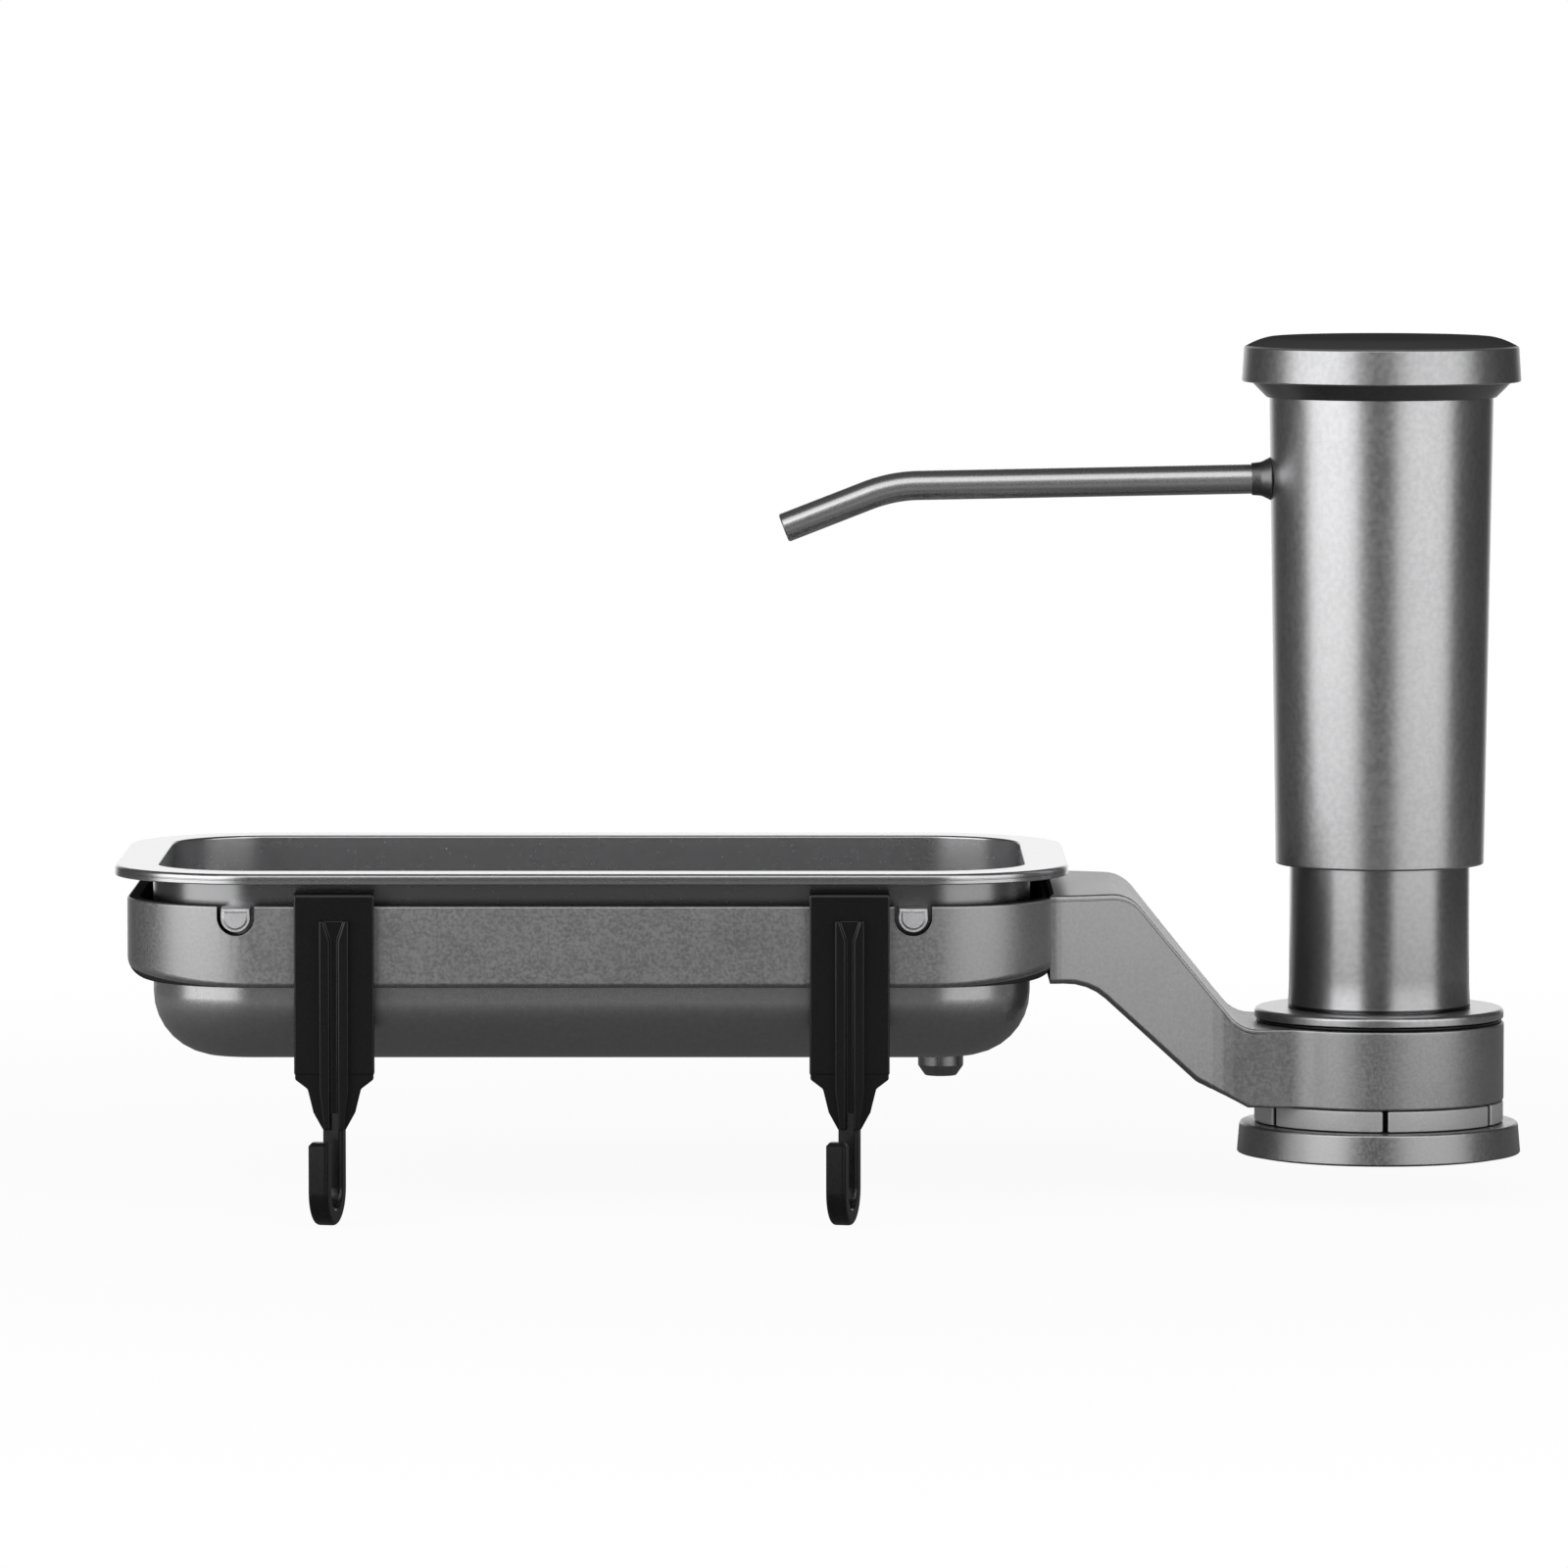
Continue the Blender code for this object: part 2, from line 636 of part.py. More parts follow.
def build_base_flange(finish):
    top_radius = base_radius - BASE_FLARE
    profile = [
        (base_radius, base_bottom),
        (top_radius, base_top - BASE_BEVEL),
        (top_radius - BASE_BEVEL, base_top),
        (shank_hole, base_top),
        (shank_hole, web_bottom),
        (nut_recess_radius, web_bottom),
        (nut_recess_radius, gasket_ceiling),
        (rebate_radius, gasket_ceiling),
        (rebate_radius, base_bottom),
    ]
    make_object("base_flange", turned(profile, SHOWN_FACETS), finish)


def build_shank_and_nuts(finish):
    bore = SHANK_RADIUS - SHANK_WALL
    profile = [(SHANK_RADIUS, SHANK_BOTTOM), (SHANK_RADIUS, shank_top), (bore, shank_top), (bore, SHANK_BOTTOM)]
    make_object("threaded_shank", turned(profile, HIDDEN_FACETS), finish)
    lower = hex_nut(lock_nut_flats, shank_hole, lock_nut_top - LOCK_NUT_HEIGHT, lock_nut_top)
    make_object("lock_nut", lower, finish)
    upper = hex_nut(top_nut_flats, shank_hole, top_nut_bottom, top_nut_top)
    make_object("top_nut", upper, finish)


def build_detent_ring(finish):
    """A ring whose outer part is divided into pads by narrow slots. One slot faces the front."""
    pad_radius = collar_radius - PAD_INSET
    root = pad_radius - PAD_SLOT_DEPTH
    half_slot = asin(PAD_SLOT_WIDTH / 2 / pad_radius)
    root_half = asin(PAD_SLOT_WIDTH / 2 / root)
    angles = []
    for pad in range(PAD_COUNT):
        middle = -pi / 2 + 2 * pi * pad / PAD_COUNT
        pad_start = middle + half_slot
        pad_end = middle + 2 * pi / PAD_COUNT - half_slot
        for step in range(PAD_STEPS + 1):
            angles.append((pad_start + (pad_end - pad_start) * step / PAD_STEPS, False))
        slot = middle + 2 * pi / PAD_COUNT
        angles.append((slot - root_half, True))
        angles.append((slot + root_half, True))
    outer = []
    for angle, in_slot in angles:
        reach = root if in_slot else pad_radius
        outer.append((reach * cos(angle), reach * sin(angle)))
    inner = [(shank_hole * cos(angle), shank_hole * sin(angle)) for angle, _ in angles]
    loops = []
    for outline, z in ((outer, pads_bottom), (outer, pads_top), (inner, pads_top), (inner, pads_bottom)):
        loops.append([(x, y, z) for x, y in outline])
    make_object("detent_ring", lofted(loops, closed=True), finish)


def build_upper_washer(finish):
    radius = collar_radius - WASHER_INSET
    profile = [(shank_hole, washer_top), (radius, washer_top),
               (radius, washer_bottom), (shank_hole, washer_bottom)]
    make_object("upper_washer", turned(profile, SHOWN_FACETS), finish)


def build_neck(finish):
    boss_radius = neck_inner_radius - SLIP_GAP
    flange_radius = collar_radius - FLANGE_INSET
    flange = [
        (flange_radius, flange_bottom),
        (flange_radius, flange_top - FLANGE_BEVEL),
        (flange_radius - FLANGE_BEVEL, flange_top),
        (boss_radius, flange_top),
        (boss_radius, boss_top),
        (shank_hole, boss_top),
        (shank_hole, flange_bottom),
    ]
    make_object("neck_flange", turned(flange, SHOWN_FACETS), finish)
    foot_top = neck_bottom + NECK_FOOT_HEIGHT
    tube = [
        (neck_radius + NECK_FOOT_FLARE, neck_bottom),
        (neck_radius + NECK_FOOT_FLARE, foot_top - NECK_FOOT_FLARE),
        (neck_radius, foot_top),
        (neck_radius, neck_top),
        (neck_inner_radius, neck_top),
        (neck_inner_radius, neck_bottom),
    ]
    make_object("neck_tube", turned(tube, SHOWN_FACETS), finish)


# The pump's fixed half

def build_pump_closure(finish, seal_finish):
    plug_radius = neck_inner_radius - SLIP_GAP
    groove_middle = closure_rim_bottom - SEAL_BELOW_RIM
    groove_half = SEAL_SECTION + SEAT_GAP
    groove_radius = plug_radius - SEAL_GROOVE_DEPTH
    profile = [
        (CYLINDER_RADIUS + SLIP_GAP, closure_bottom),
        (plug_radius, closure_bottom),
        (plug_radius, groove_middle - groove_half),
        (groove_radius, groove_middle - groove_half),
        (groove_radius, groove_middle + groove_half),
        (plug_radius, groove_middle + groove_half),
        (plug_radius, closure_rim_bottom),
        (neck_radius, closure_rim_bottom),
        (neck_radius, closure_top),
        (stem_hole, closure_top),
        (stem_hole, socket_ceiling),
        (CYLINDER_RADIUS + SLIP_GAP, socket_ceiling),
    ]
    make_object("pump_closure", turned(profile, HIDDEN_FACETS), finish)
    ring_centre = (groove_radius + SEAT_GAP + SEAL_SECTION, groove_middle)
    seal = arc(ring_centre, SEAL_SECTION, 0.0, 2 * pi, SEAL_SIDES)[:-1]
    make_object("closure_seal", turned(seal, HIDDEN_FACETS), seal_finish)


def build_pump_cylinder(finish):
    profile = [
        (CYLINDER_RADIUS, cylinder_bottom),
        (CYLINDER_RADIUS, cylinder_top),
        (cylinder_bore, cylinder_top),
        (cylinder_bore, cylinder_floor_top),
        (cylinder_port, cylinder_floor_top),
        (cylinder_port, cylinder_floor_bottom),
        (skirt_bore, cylinder_floor_bottom),
        (skirt_bore, cylinder_bottom),
    ]
    make_object("pump_cylinder", turned(profile, HIDDEN_FACETS), finish)


def build_inlet_valve(finish, ball_finish):
    disc_radius = skirt_bore - SLIP_GAP
    body_radius = suction_hole + VALVE_WALL
    profile = [
        (disc_radius, valve_top),
        (disc_radius, cylinder_bottom),
        (body_radius, cylinder_bottom),
        (body_radius, valve_bottom),
        (suction_hole, valve_bottom),
        (suction_hole, suction_ceiling),
        (valve_seat_radius, suction_ceiling),
        (valve_seat_radius, seat_bottom),
        (valve_chamber_radius, chamber_floor),
        (valve_chamber_radius, valve_top),
    ]
    make_object("inlet_valve", turned(profile, SMALL_FACETS), finish)
    # The ball rests in the cone of the seat, so its centre follows from the cone's half angle.
    half_angle = atan2(valve_chamber_radius - valve_seat_radius, VALVE_SEAT_DEPTH)
    apex = seat_bottom - valve_seat_radius / tan(half_angle)
    centre = apex + (ball_radius + SEAT_GAP) / sin(half_angle)
    build_ball("inlet_ball", centre, ball_finish, None)


def build_ball(name, centre, finish, parent):
    body = bmesh.new()
    bmesh.ops.create_uvsphere(body, u_segments=BALL_FACETS, v_segments=BALL_BANDS, radius=ball_radius,
                              matrix=Matrix.Translation((0.0, 0.0, centre)))
    make_object(name, body, finish, parent)


def build_suction_tube(finish):
    """A straight tube with a barbed end, on which the bottle's hose is pushed from below."""
    bore = SUCTION_RADIUS - SUCTION_WALL
    profile = [(bore, SUCTION_BOTTOM)]
    for barb in range(BARB_COUNT):
        foot = SUCTION_BOTTOM + barb * BARB_HEIGHT
        profile.append((SUCTION_RADIUS, foot))
        profile.append((SUCTION_RADIUS + BARB_PROUD, foot + BARB_HEIGHT - BARB_STEP))
    profile.append((SUCTION_RADIUS, SUCTION_BOTTOM + BARB_COUNT * BARB_HEIGHT))
    profile.append((SUCTION_RADIUS, suction_top))
    profile.append((bore, suction_top))
    make_object("suction_tube", turned(profile, SMALL_FACETS), finish)


def build_return_spring(finish):
    """A helix round the stem, between the closure's top and the head core."""
    low = closure_top + SEAT_GAP + SPRING_WIRE_RADIUS
    high = core_bottom - SEAT_GAP - SPRING_WIRE_RADIUS
    count = int(SPRING_TURNS * SPRING_POINTS_PER_TURN)
    path = []
    for step in range(count + 1):
        angle = 2 * pi * SPRING_TURNS * step / count
        height = low + (high - low) * step / count
        path.append(Vector((spring_radius * cos(angle), spring_radius * sin(angle), height)))
    curve = bpy.data.curves.new("return_spring", "CURVE")
    curve.dimensions = "3D"
    curve.bevel_depth = SPRING_WIRE_RADIUS
    curve.bevel_resolution = 1
    curve.use_fill_caps = True
    wire = curve.splines.new("POLY")
    wire.points.add(count)
    for point, place in zip(wire.points, path):
        point.co = (*place, 1.0)
    curve.materials.append(finish)
    thing = bpy.data.objects.new("return_spring", curve)
    bpy.context.collection.objects.link(thing)
    nearest = min((path[a] - path[b]).length for a in range(count + 1)
                  for b in range(a + SPRING_POINTS_PER_TURN // 2, count + 1))
    print("return_spring: least gap between turns",
          round((nearest - 2 * SPRING_WIRE_RADIUS) / MM, 2), "mm")


# The pump's moving half

def build_piston(stem_finish, seal_finish, ball_finish, pivot):
    profile = [
        (stem_radius, stem_bottom),
        (stem_radius, piston_foot_bottom),
        (piston_stop_radius, piston_foot_bottom),
        (piston_stop_radius, piston_foot_top),
        (stem_radius, piston_foot_top),
        (stem_radius, stop_bottom),
        (piston_stop_radius, stop_bottom),
        (piston_stop_radius, stop_top),
        (stem_radius, stop_top),
        (stem_radius, stem_top),
        (STEM_BORE, stem_top),
        (STEM_BORE, stem_bottom),
    ]
    make_object("piston_stem", turned(profile, SMALL_FACETS), stem_finish, pivot)
    seal_radius = cylinder_bore - SLIP_GAP
    seal = [(stem_hole, piston_seal_bottom), (seal_radius, piston_seal_bottom),
            (seal_radius, piston_seal_top), (stem_hole, piston_seal_top)]
    make_object("piston_seal", turned(seal, HIDDEN_FACETS), seal_finish, pivot)
    # The outlet ball rests on the rim of the stem's bore.
    rise = sqrt(ball_radius ** 2 - STEM_BORE ** 2)
    build_ball("outlet_ball", stem_top + rise + SEAT_GAP, ball_finish, pivot)


# The head that turns on the stem

def spout_point(distance):
    """A point on the axis of the spout's first run, at a distance from the dispenser's axis."""
    rise = -sin(SPOUT_SLOPE) * distance
    return Vector((-cos(SPOUT_SLOPE) * distance, 0.0, spout_z + rise))


def build_barrel(finish, pivot):
    inner_top = barrel_inner_radius(barrel_top)
    inner_bottom = barrel_inner_radius(barrel_bottom)
    profile = [
        (barrel_bottom_radius - BARREL_BEVEL, barrel_bottom),
        (barrel_outer_radius(barrel_bottom + BARREL_BEVEL), barrel_bottom + BARREL_BEVEL),
        (barrel_top_radius, barrel_top),
        (inner_top, barrel_top),
        (inner_bottom, barrel_bottom),
    ]
    barrel = make_object("barrel", turned(profile, SHOWN_FACETS), finish, pivot)
    hole = moved_rod(spout_hole, spout_point(inner_bottom - CUT_MARGIN),
                     spout_point(barrel_top_radius + CUT_MARGIN), SPOUT_SIDES)
    combine(barrel, make_tool("spout_hole", hole, pivot), "DIFFERENCE")


def build_barrel_bush(finish, pivot):
    bottom = barrel_bottom + BARREL_BUSH_INSET
    top = bottom + BARREL_BUSH_LENGTH
    outer = barrel_inner_radius(bottom) - SLIP_GAP
    inner = neck_radius + SLIP_GAP
    profile = [(inner, top), (outer, top), (outer, bottom), (inner, bottom)]
    make_object("barrel_bush", turned(profile, SHOWN_FACETS), finish, pivot)


def build_head_core(finish, pivot):
    """Hub, web and spout boss of one plastic piece, with the soap's way cut through it."""
    web_radius = barrel_inner_radius(core_web_bottom) - SLIP_GAP
    hub = [
        (0.0, core_web_top),
        (web_radius, core_web_top),
        (web_radius, core_web_bottom),
        (core_radius, core_web_bottom),
        (core_radius, core_bottom),
        (0.0, core_bottom),
    ]
    core = make_object("head_core", turned(hub, HIDDEN_FACETS, closed=False), finish, pivot)
    boss_end = barrel_inner_radius(spout_z) - SLIP_GAP - SPOUT_BOSS_SETBACK
    boss = moved_rod(spout_boss_radius, spout_point(0.0), spout_point(boss_end), HIDDEN_FACETS)
    combine(core, make_tool("spout_boss", boss, pivot), "UNION")
    socket = moved_rod(stem_hole, (0, 0, core_bottom - CUT_MARGIN), (0, 0, chamber_bottom), SMALL_FACETS)
    combine(core, make_tool("stem_socket", socket, pivot), "DIFFERENCE")
    chamber = moved_rod(valve_chamber_radius, (0, 0, chamber_bottom - STEM_SOCKET_DEPTH / 2),
                        (0, 0, chamber_top), SMALL_FACETS)
    combine(core, make_tool("outlet_chamber", chamber, pivot), "DIFFERENCE")
    way = moved_rod(spout_bore, spout_point(0.0), spout_point(boss_end), SMALL_FACETS)
    combine(core, make_tool("soap_way", way, pivot), "DIFFERENCE")
    grip = moved_rod(spout_hole, spout_point(boss_end - SPOUT_GRIP),
                     spout_point(boss_end + CUT_MARGIN), SPOUT_SIDES)
    combine(core, make_tool("spout_socket", grip, pivot), "DIFFERENCE")
    return boss_end - SPOUT_GRIP + SEAT_GAP


def build_spout(start, finish, collar_finish, pivot):
    """A tube with one long bend. The collar is a short cone at the barrel's side."""
    first = Vector((-cos(SPOUT_SLOPE), 0.0, -sin(SPOUT_SLOPE)))
    second = Vector((-cos(SPOUT_TIP_SLOPE), 0.0, -sin(SPOUT_TIP_SLOPE)))
    bend = spout_point(SPOUT_REACH / cos(SPOUT_SLOPE))
    turn = SPOUT_TIP_SLOPE - SPOUT_SLOPE
    tangent = SPOUT_BEND_RADIUS * tan(turn / 2)
    centre = bend - first * tangent + Vector((first.z, 0.0, -first.x)) * -SPOUT_BEND_RADIUS
    path = [spout_point(start)]
    for step in range(SPOUT_BEND_STEPS + 1):
        slope = SPOUT_SLOPE + turn * step / SPOUT_BEND_STEPS
        path.append(centre + Vector((-sin(slope), 0.0, cos(slope))) * SPOUT_BEND_RADIUS)
    path.append(bend + second * SPOUT_TIP_LENGTH)
    spout = make_object("spout", swept(path, circle(SPOUT_RADIUS, SPOUT_SIDES)), finish, pivot)
    # The cutter of the bore runs past both ends of the tube.
    bore_path = [path[0] - first * CUT_MARGIN] + path[1:-1] + [path[-1] + second * CUT_MARGIN]
    bore = swept(bore_path, circle(spout_bore, SPOUT_SIDES // 2))
    combine(spout, make_tool("spout_bore", bore, pivot), "DIFFERENCE")
    narrow = spout_hole + SPOUT_COLLAR_WALL
    profile = [
        (spout_hole + SPOUT_COLLAR_FLARE, 0.0),
        (narrow, SPOUT_COLLAR_CONE),
        (narrow, SPOUT_COLLAR_LENGTH),
        (spout_hole, SPOUT_COLLAR_LENGTH),
        (spout_hole, 0.0),
    ]
    collar = turned(profile, HIDDEN_FACETS)
    foot = spout_point(barrel_outer_radius(spout_z) + SLIP_GAP)
    turn_to_spout = first.to_track_quat("Z", "Y").to_matrix().to_4x4()
    bmesh.ops.transform(collar, matrix=Matrix.Translation(foot) @ turn_to_spout, verts=collar.verts)
    make_object("spout_collar", collar, collar_finish, pivot)


def build_press_cap(shell_finish, insert_finish, pivot):
    top_radius = cap_radius - CAP_TAPER
    plateau = top_radius - CAP_CROWN_WIDTH
    inner_top = cap_top - CAP_WALL
    shell = [(0.0, cap_top)]
    for step in range(CAP_CROWN_STEPS + 1):
        share = step / CAP_CROWN_STEPS
        shell.append((plateau + CAP_CROWN_WIDTH * share, cap_top - CAP_CROWN * share ** CAP_CROWN_POWER))
    shell += [
        (cap_radius, cap_bottom + CAP_LIP),
        (cap_radius - CAP_LIP, cap_bottom),
        (cap_radius - CAP_WALL, cap_bottom),
        (top_radius - CAP_WALL, cap_band_top - CAP_WALL),
        (plateau - CAP_WALL, inner_top),
        (0.0, inner_top),
    ]
    make_object("press_cap", turned(shell, SHOWN_FACETS, closed=False), shell_finish, pivot)

    insert_radius = cap_radius - CAP_WALL - SLIP_GAP
    groove_outer = barrel_top_radius + SLIP_GAP
    groove_inner = barrel_inner_radius(barrel_top) - SLIP_GAP
    spigot_radius = barrel_inner_radius(spigot_bottom) - SLIP_GAP
    plate_top = cap_bottom + CAP_INSERT_PLATE
    plate_bottom = groove_ceiling + CAP_WALL
    insert = [
        (0.0, plate_top),
        (insert_radius - CAP_TAPER, plate_top),
        (insert_radius, cap_bottom),
        (groove_outer + CAP_LIP, barrel_top - CAP_INSERT_OVERLAP),
        (groove_outer, barrel_top - CAP_INSERT_OVERLAP),
        (groove_outer, groove_ceiling),
        (groove_inner, groove_ceiling),
        (spigot_radius, spigot_bottom),
        (spigot_radius - CAP_SPIGOT_WALL, spigot_bottom),
        (spigot_radius - CAP_SPIGOT_WALL, plate_bottom),
        (0.0, plate_bottom),
    ]
    make_object("cap_insert", turned(insert, SHOWN_FACETS, closed=False), insert_finish, pivot)


# The rack that turns round the shank

def arm_side_outline():
    """Side view of arm and collar: it falls from the ring's end to the collar in a long S."""
    buried = ring_end_x - RING_WALL / 2
    arm_top = ring_top + ARM_TOP_ABOVE_RING
    end_bottom = ring_bottom - ARM_BELOW_RING
    past_collar = collar_radius + CUT_MARGIN
    return rounded([
        (buried, arm_top, 0),
        (buried, end_bottom, 0),
        (ring_end_x + ARM_UNDER_SHOULDER_FROM_RING, end_bottom, ARM_UNDER_SHOULDER_RADIUS),
        (-(collar_radius + ARM_KNEE_FROM_COLLAR), collar_bottom + ARM_KNEE_RISE, ARM_KNEE_RADIUS),
        (-(collar_radius + ARM_UNDER_HEEL_FROM_COLLAR), collar_bottom, 0),
        (past_collar, collar_bottom, 0),
        (past_collar, collar_top, 0),
        (-(collar_radius + ARM_HEEL_FROM_COLLAR), collar_top, ARM_HEEL_RADIUS),
        (ring_end_x + ARM_SHOULDER_FROM_RING, arm_top, ARM_SHOULDER_RADIUS),
    ])


def arm_plan_outline():
    """Top view: the arm narrows from the ring's end to a waist, and a fillet joins it to the collar."""
    start_x = ring_end_x - RING_WALL
    half_width = RACK_CORE_Y + ARM_SIDE_PAST_CORE
    waist = collar_radius - ARM_WAIST_INSIDE_COLLAR
    fillet_y = waist + ARM_NECK_RADIUS
    fillet_x = -sqrt((collar_radius + ARM_NECK_RADIUS) ** 2 - fillet_y ** 2)
    side = rounded([
        (start_x, 0.0, 0),
        (start_x, half_width, 0),
        (ring_end_x + ARM_FLARE_FROM_RING, half_width, ARM_FLARE_RADIUS),
        (-(collar_radius + ARM_WAIST_FROM_COLLAR), waist, ARM_WAIST_RADIUS),
        (fillet_x, waist, 0),
        (fillet_x, 0.0, 0),
    ])[1:-2]
    towards_axis = atan2(-fillet_y, -fillet_x)
    side += arc((fillet_x, fillet_y), ARM_NECK_RADIUS, -pi / 2, towards_axis, ARM_NECK_STEPS)
    touch = atan2(fillet_y, fillet_x)
    collar = arc((0.0, 0.0), collar_radius, touch, -touch, COLLAR_ARC_STEPS)[1:-1]
    return side + collar + [(x, -y) for x, y in reversed(side)]


def ring_section():
    """Section of the ring as (distance from the core rectangle, height): a band with an inward ledge."""
    ledge_top = ring_bottom + RING_LEDGE_THICKNESS
    edge_centre = (ring_radius - RING_EDGE_RADIUS, ring_bottom + RING_EDGE_RADIUS)
    section = [
        (ring_inner_radius, ledge_top),
        (ring_inner_radius, ring_top),
        (ring_radius - RING_BEVEL, ring_top),
        (ring_radius, ring_top - RING_BEVEL),
    ]
    section += arc(edge_centre, RING_EDGE_RADIUS, 0.0, -pi / 2, RING_EDGE_STEPS)
    section += [(ring_ledge_radius, ring_bottom), (ring_ledge_radius, ledge_top)]
    return section


def peg_outline(x, grown, flat_top):
    """Front view of a peg: flat on top, round below. grown widens it all round for its notch."""
    half = PEG_WIDTH / 2
    centre_z = peg_top - PEG_HEIGHT + half
    outline = [(x + half + grown, flat_top), (x - half - grown, flat_top)]
    for step in range(PEG_STEPS + 1):
        angle = pi + pi * step / PEG_STEPS
        outline.append((x + (half + grown) * cos(angle), centre_z + (half + grown) * sin(angle)))
    return outline


def build_rack_bracket(finish, pivot):
    """Collar, arm and ring are one casting, bored for the bush and notched for the pegs."""
    width = RACK_CORE_Y + ARM_SIDE_PAST_CORE + CUT_MARGIN
    side = prism(arm_side_outline(), -width, width, along_y)
    bracket = make_object("rack_bracket", side, finish, pivot)
    low = collar_bottom - CUT_MARGIN
    high = ring_top + CUT_MARGIN
    plan = prism(arm_plan_outline(), low, high, along_z)
    combine(bracket, make_tool("arm_plan", plan, pivot), "INTERSECT")
    ring = lofted([rack_loop(radius, z) for radius, z in ring_section()], closed=True)
    combine(bracket, make_tool("ring_form", ring, pivot), "UNION")
    bush_hole = shank_hole + COLLAR_BUSH_WALL + SLIP_GAP
    bore = moved_rod(bush_hole, (0, 0, low), (0, 0, high), SHOWN_FACETS)
    combine(bracket, make_tool("collar_bore", bore, pivot), "DIFFERENCE")
    for hand, x in peg_places.items():
        outline = peg_outline(x, PEG_NOTCH_GAP, high)
        for side_name, sign in (("front", -1), ("back", 1)):
            near = sign * (RACK_CORE_Y + TRAY_RADIUS)
            far = sign * (ring_face_y + CUT_MARGIN)
            notch = prism(outline, near, far, along_y)
            combine(bracket, make_tool("notch_%s_%s" % (side_name, hand), notch, pivot), "DIFFERENCE")


def build_collar_bush(finish, pivot):
    outer = shank_hole + COLLAR_BUSH_WALL
    profile = [(shank_hole, collar_top), (outer, collar_top), (outer, collar_bottom),
               (shank_hole, collar_bottom)]
    make_object("collar_bush", turned(profile, HIDDEN_FACETS), finish, pivot)


# Tray, its pegs and its drain

def tray_section():
    """Section of the pressed tray, from the outer middle of its floor, up, over the rim and back down."""
    edge_centre = (TRAY_RADIUS - TRAY_EDGE_RADIUS, tray_bottom + TRAY_EDGE_RADIUS)
    inner = TRAY_RADIUS - TRAY_WALL
    rim_under = tray_top - TRAY_WALL
    outer_side = arc(edge_centre, TRAY_EDGE_RADIUS, -pi / 2, 0.0, TRAY_EDGE_STEPS)
    rim = [
        (TRAY_RADIUS, rim_under),
        (tray_rim_radius - TRAY_WALL, rim_under),
        (tray_rim_radius - TRAY_WALL, tray_top - TRAY_LIP_DROP),
        (tray_rim_radius, tray_top - TRAY_LIP_DROP),
        (tray_rim_radius, tray_top - TRAY_RIM_ROUND),
        (tray_rim_radius - TRAY_RIM_ROUND, tray_top),
    ]
    mouth_centre = (inner + TRAY_MOUTH_ROUND, tray_top - TRAY_MOUTH_ROUND)
    mouth = arc(mouth_centre, TRAY_MOUTH_ROUND, pi / 2, pi, TRAY_MOUTH_STEPS)
    inner_side = arc(edge_centre, TRAY_EDGE_RADIUS - TRAY_WALL, 0.0, -pi / 2, TRAY_EDGE_STEPS)
    return outer_side + rim + mouth + inner_side


def wall_y(x, radius):
    """How far the tray's side wall stands from the middle plane at x."""
    past_core = max(0.0, abs(x - rack_centre_x) - RACK_CORE_X)
    return RACK_CORE_Y + sqrt(radius ** 2 - past_core ** 2)


def build_tray(finish, pivot):
    loops = [rack_loop(radius, z) for radius, z in tray_section()]
    tray = make_object("tray", lofted(loops, closed=False), finish, pivot)
    below = (nozzle_x, 0.0, tray_bottom - CUT_MARGIN)
    above = (nozzle_x, 0.0, tray_bottom + CUT_MARGIN)
    drain = moved_rod(NOZZLE_RADIUS + SLIP_GAP, below, above, HIDDEN_FACETS)
    combine(tray, make_tool("drain_hole", drain, pivot), "DIFFERENCE")
    z = peg_top - PEG_HEIGHT / 2
    for hand, x in peg_places.items():
        start = wall_y(x, TRAY_RADIUS) - CUT_MARGIN
        end = wall_y(x, TRAY_RADIUS) + CUT_MARGIN
        for side_name, sign in (("front", -1), ("back", 1)):
            hole = moved_rod(PEG_STUD_RADIUS + SLIP_GAP, (x, sign * start, z), (x, sign * end, z), STUD_FACETS)
            combine(tray, make_tool("stud_hole_%s_%s" % (side_name, hand), hole, pivot), "DIFFERENCE")


def build_pegs(finish, pivot):
    """Each peg has a stud riveted flush in the tray's wall."""
    z = peg_top - PEG_HEIGHT / 2
    for side_name, sign in (("front", -1), ("back", 1)):
        for hand, x in peg_places.items():
            edges = (x - PEG_WIDTH / 2, x + PEG_WIDTH / 2)
            back = max(wall_y(edge, TRAY_RADIUS) for edge in edges) + SEAT_GAP
            name = "tray_peg_%s_%s" % (side_name, hand)
            body = prism(peg_outline(x, 0.0, peg_top), sign * back, sign * (ring_face_y + PEG_PROUD), along_y)
            peg = make_object(name, body, finish, pivot)
            stud_end = wall_y(x, TRAY_RADIUS) - TRAY_WALL / 2
            stud = moved_rod(PEG_STUD_RADIUS, (x, sign * stud_end, z), (x, sign * ring_face_y, z), STUD_FACETS)
            combine(peg, make_tool("stud_%s_%s" % (side_name, hand), stud, pivot), "UNION")


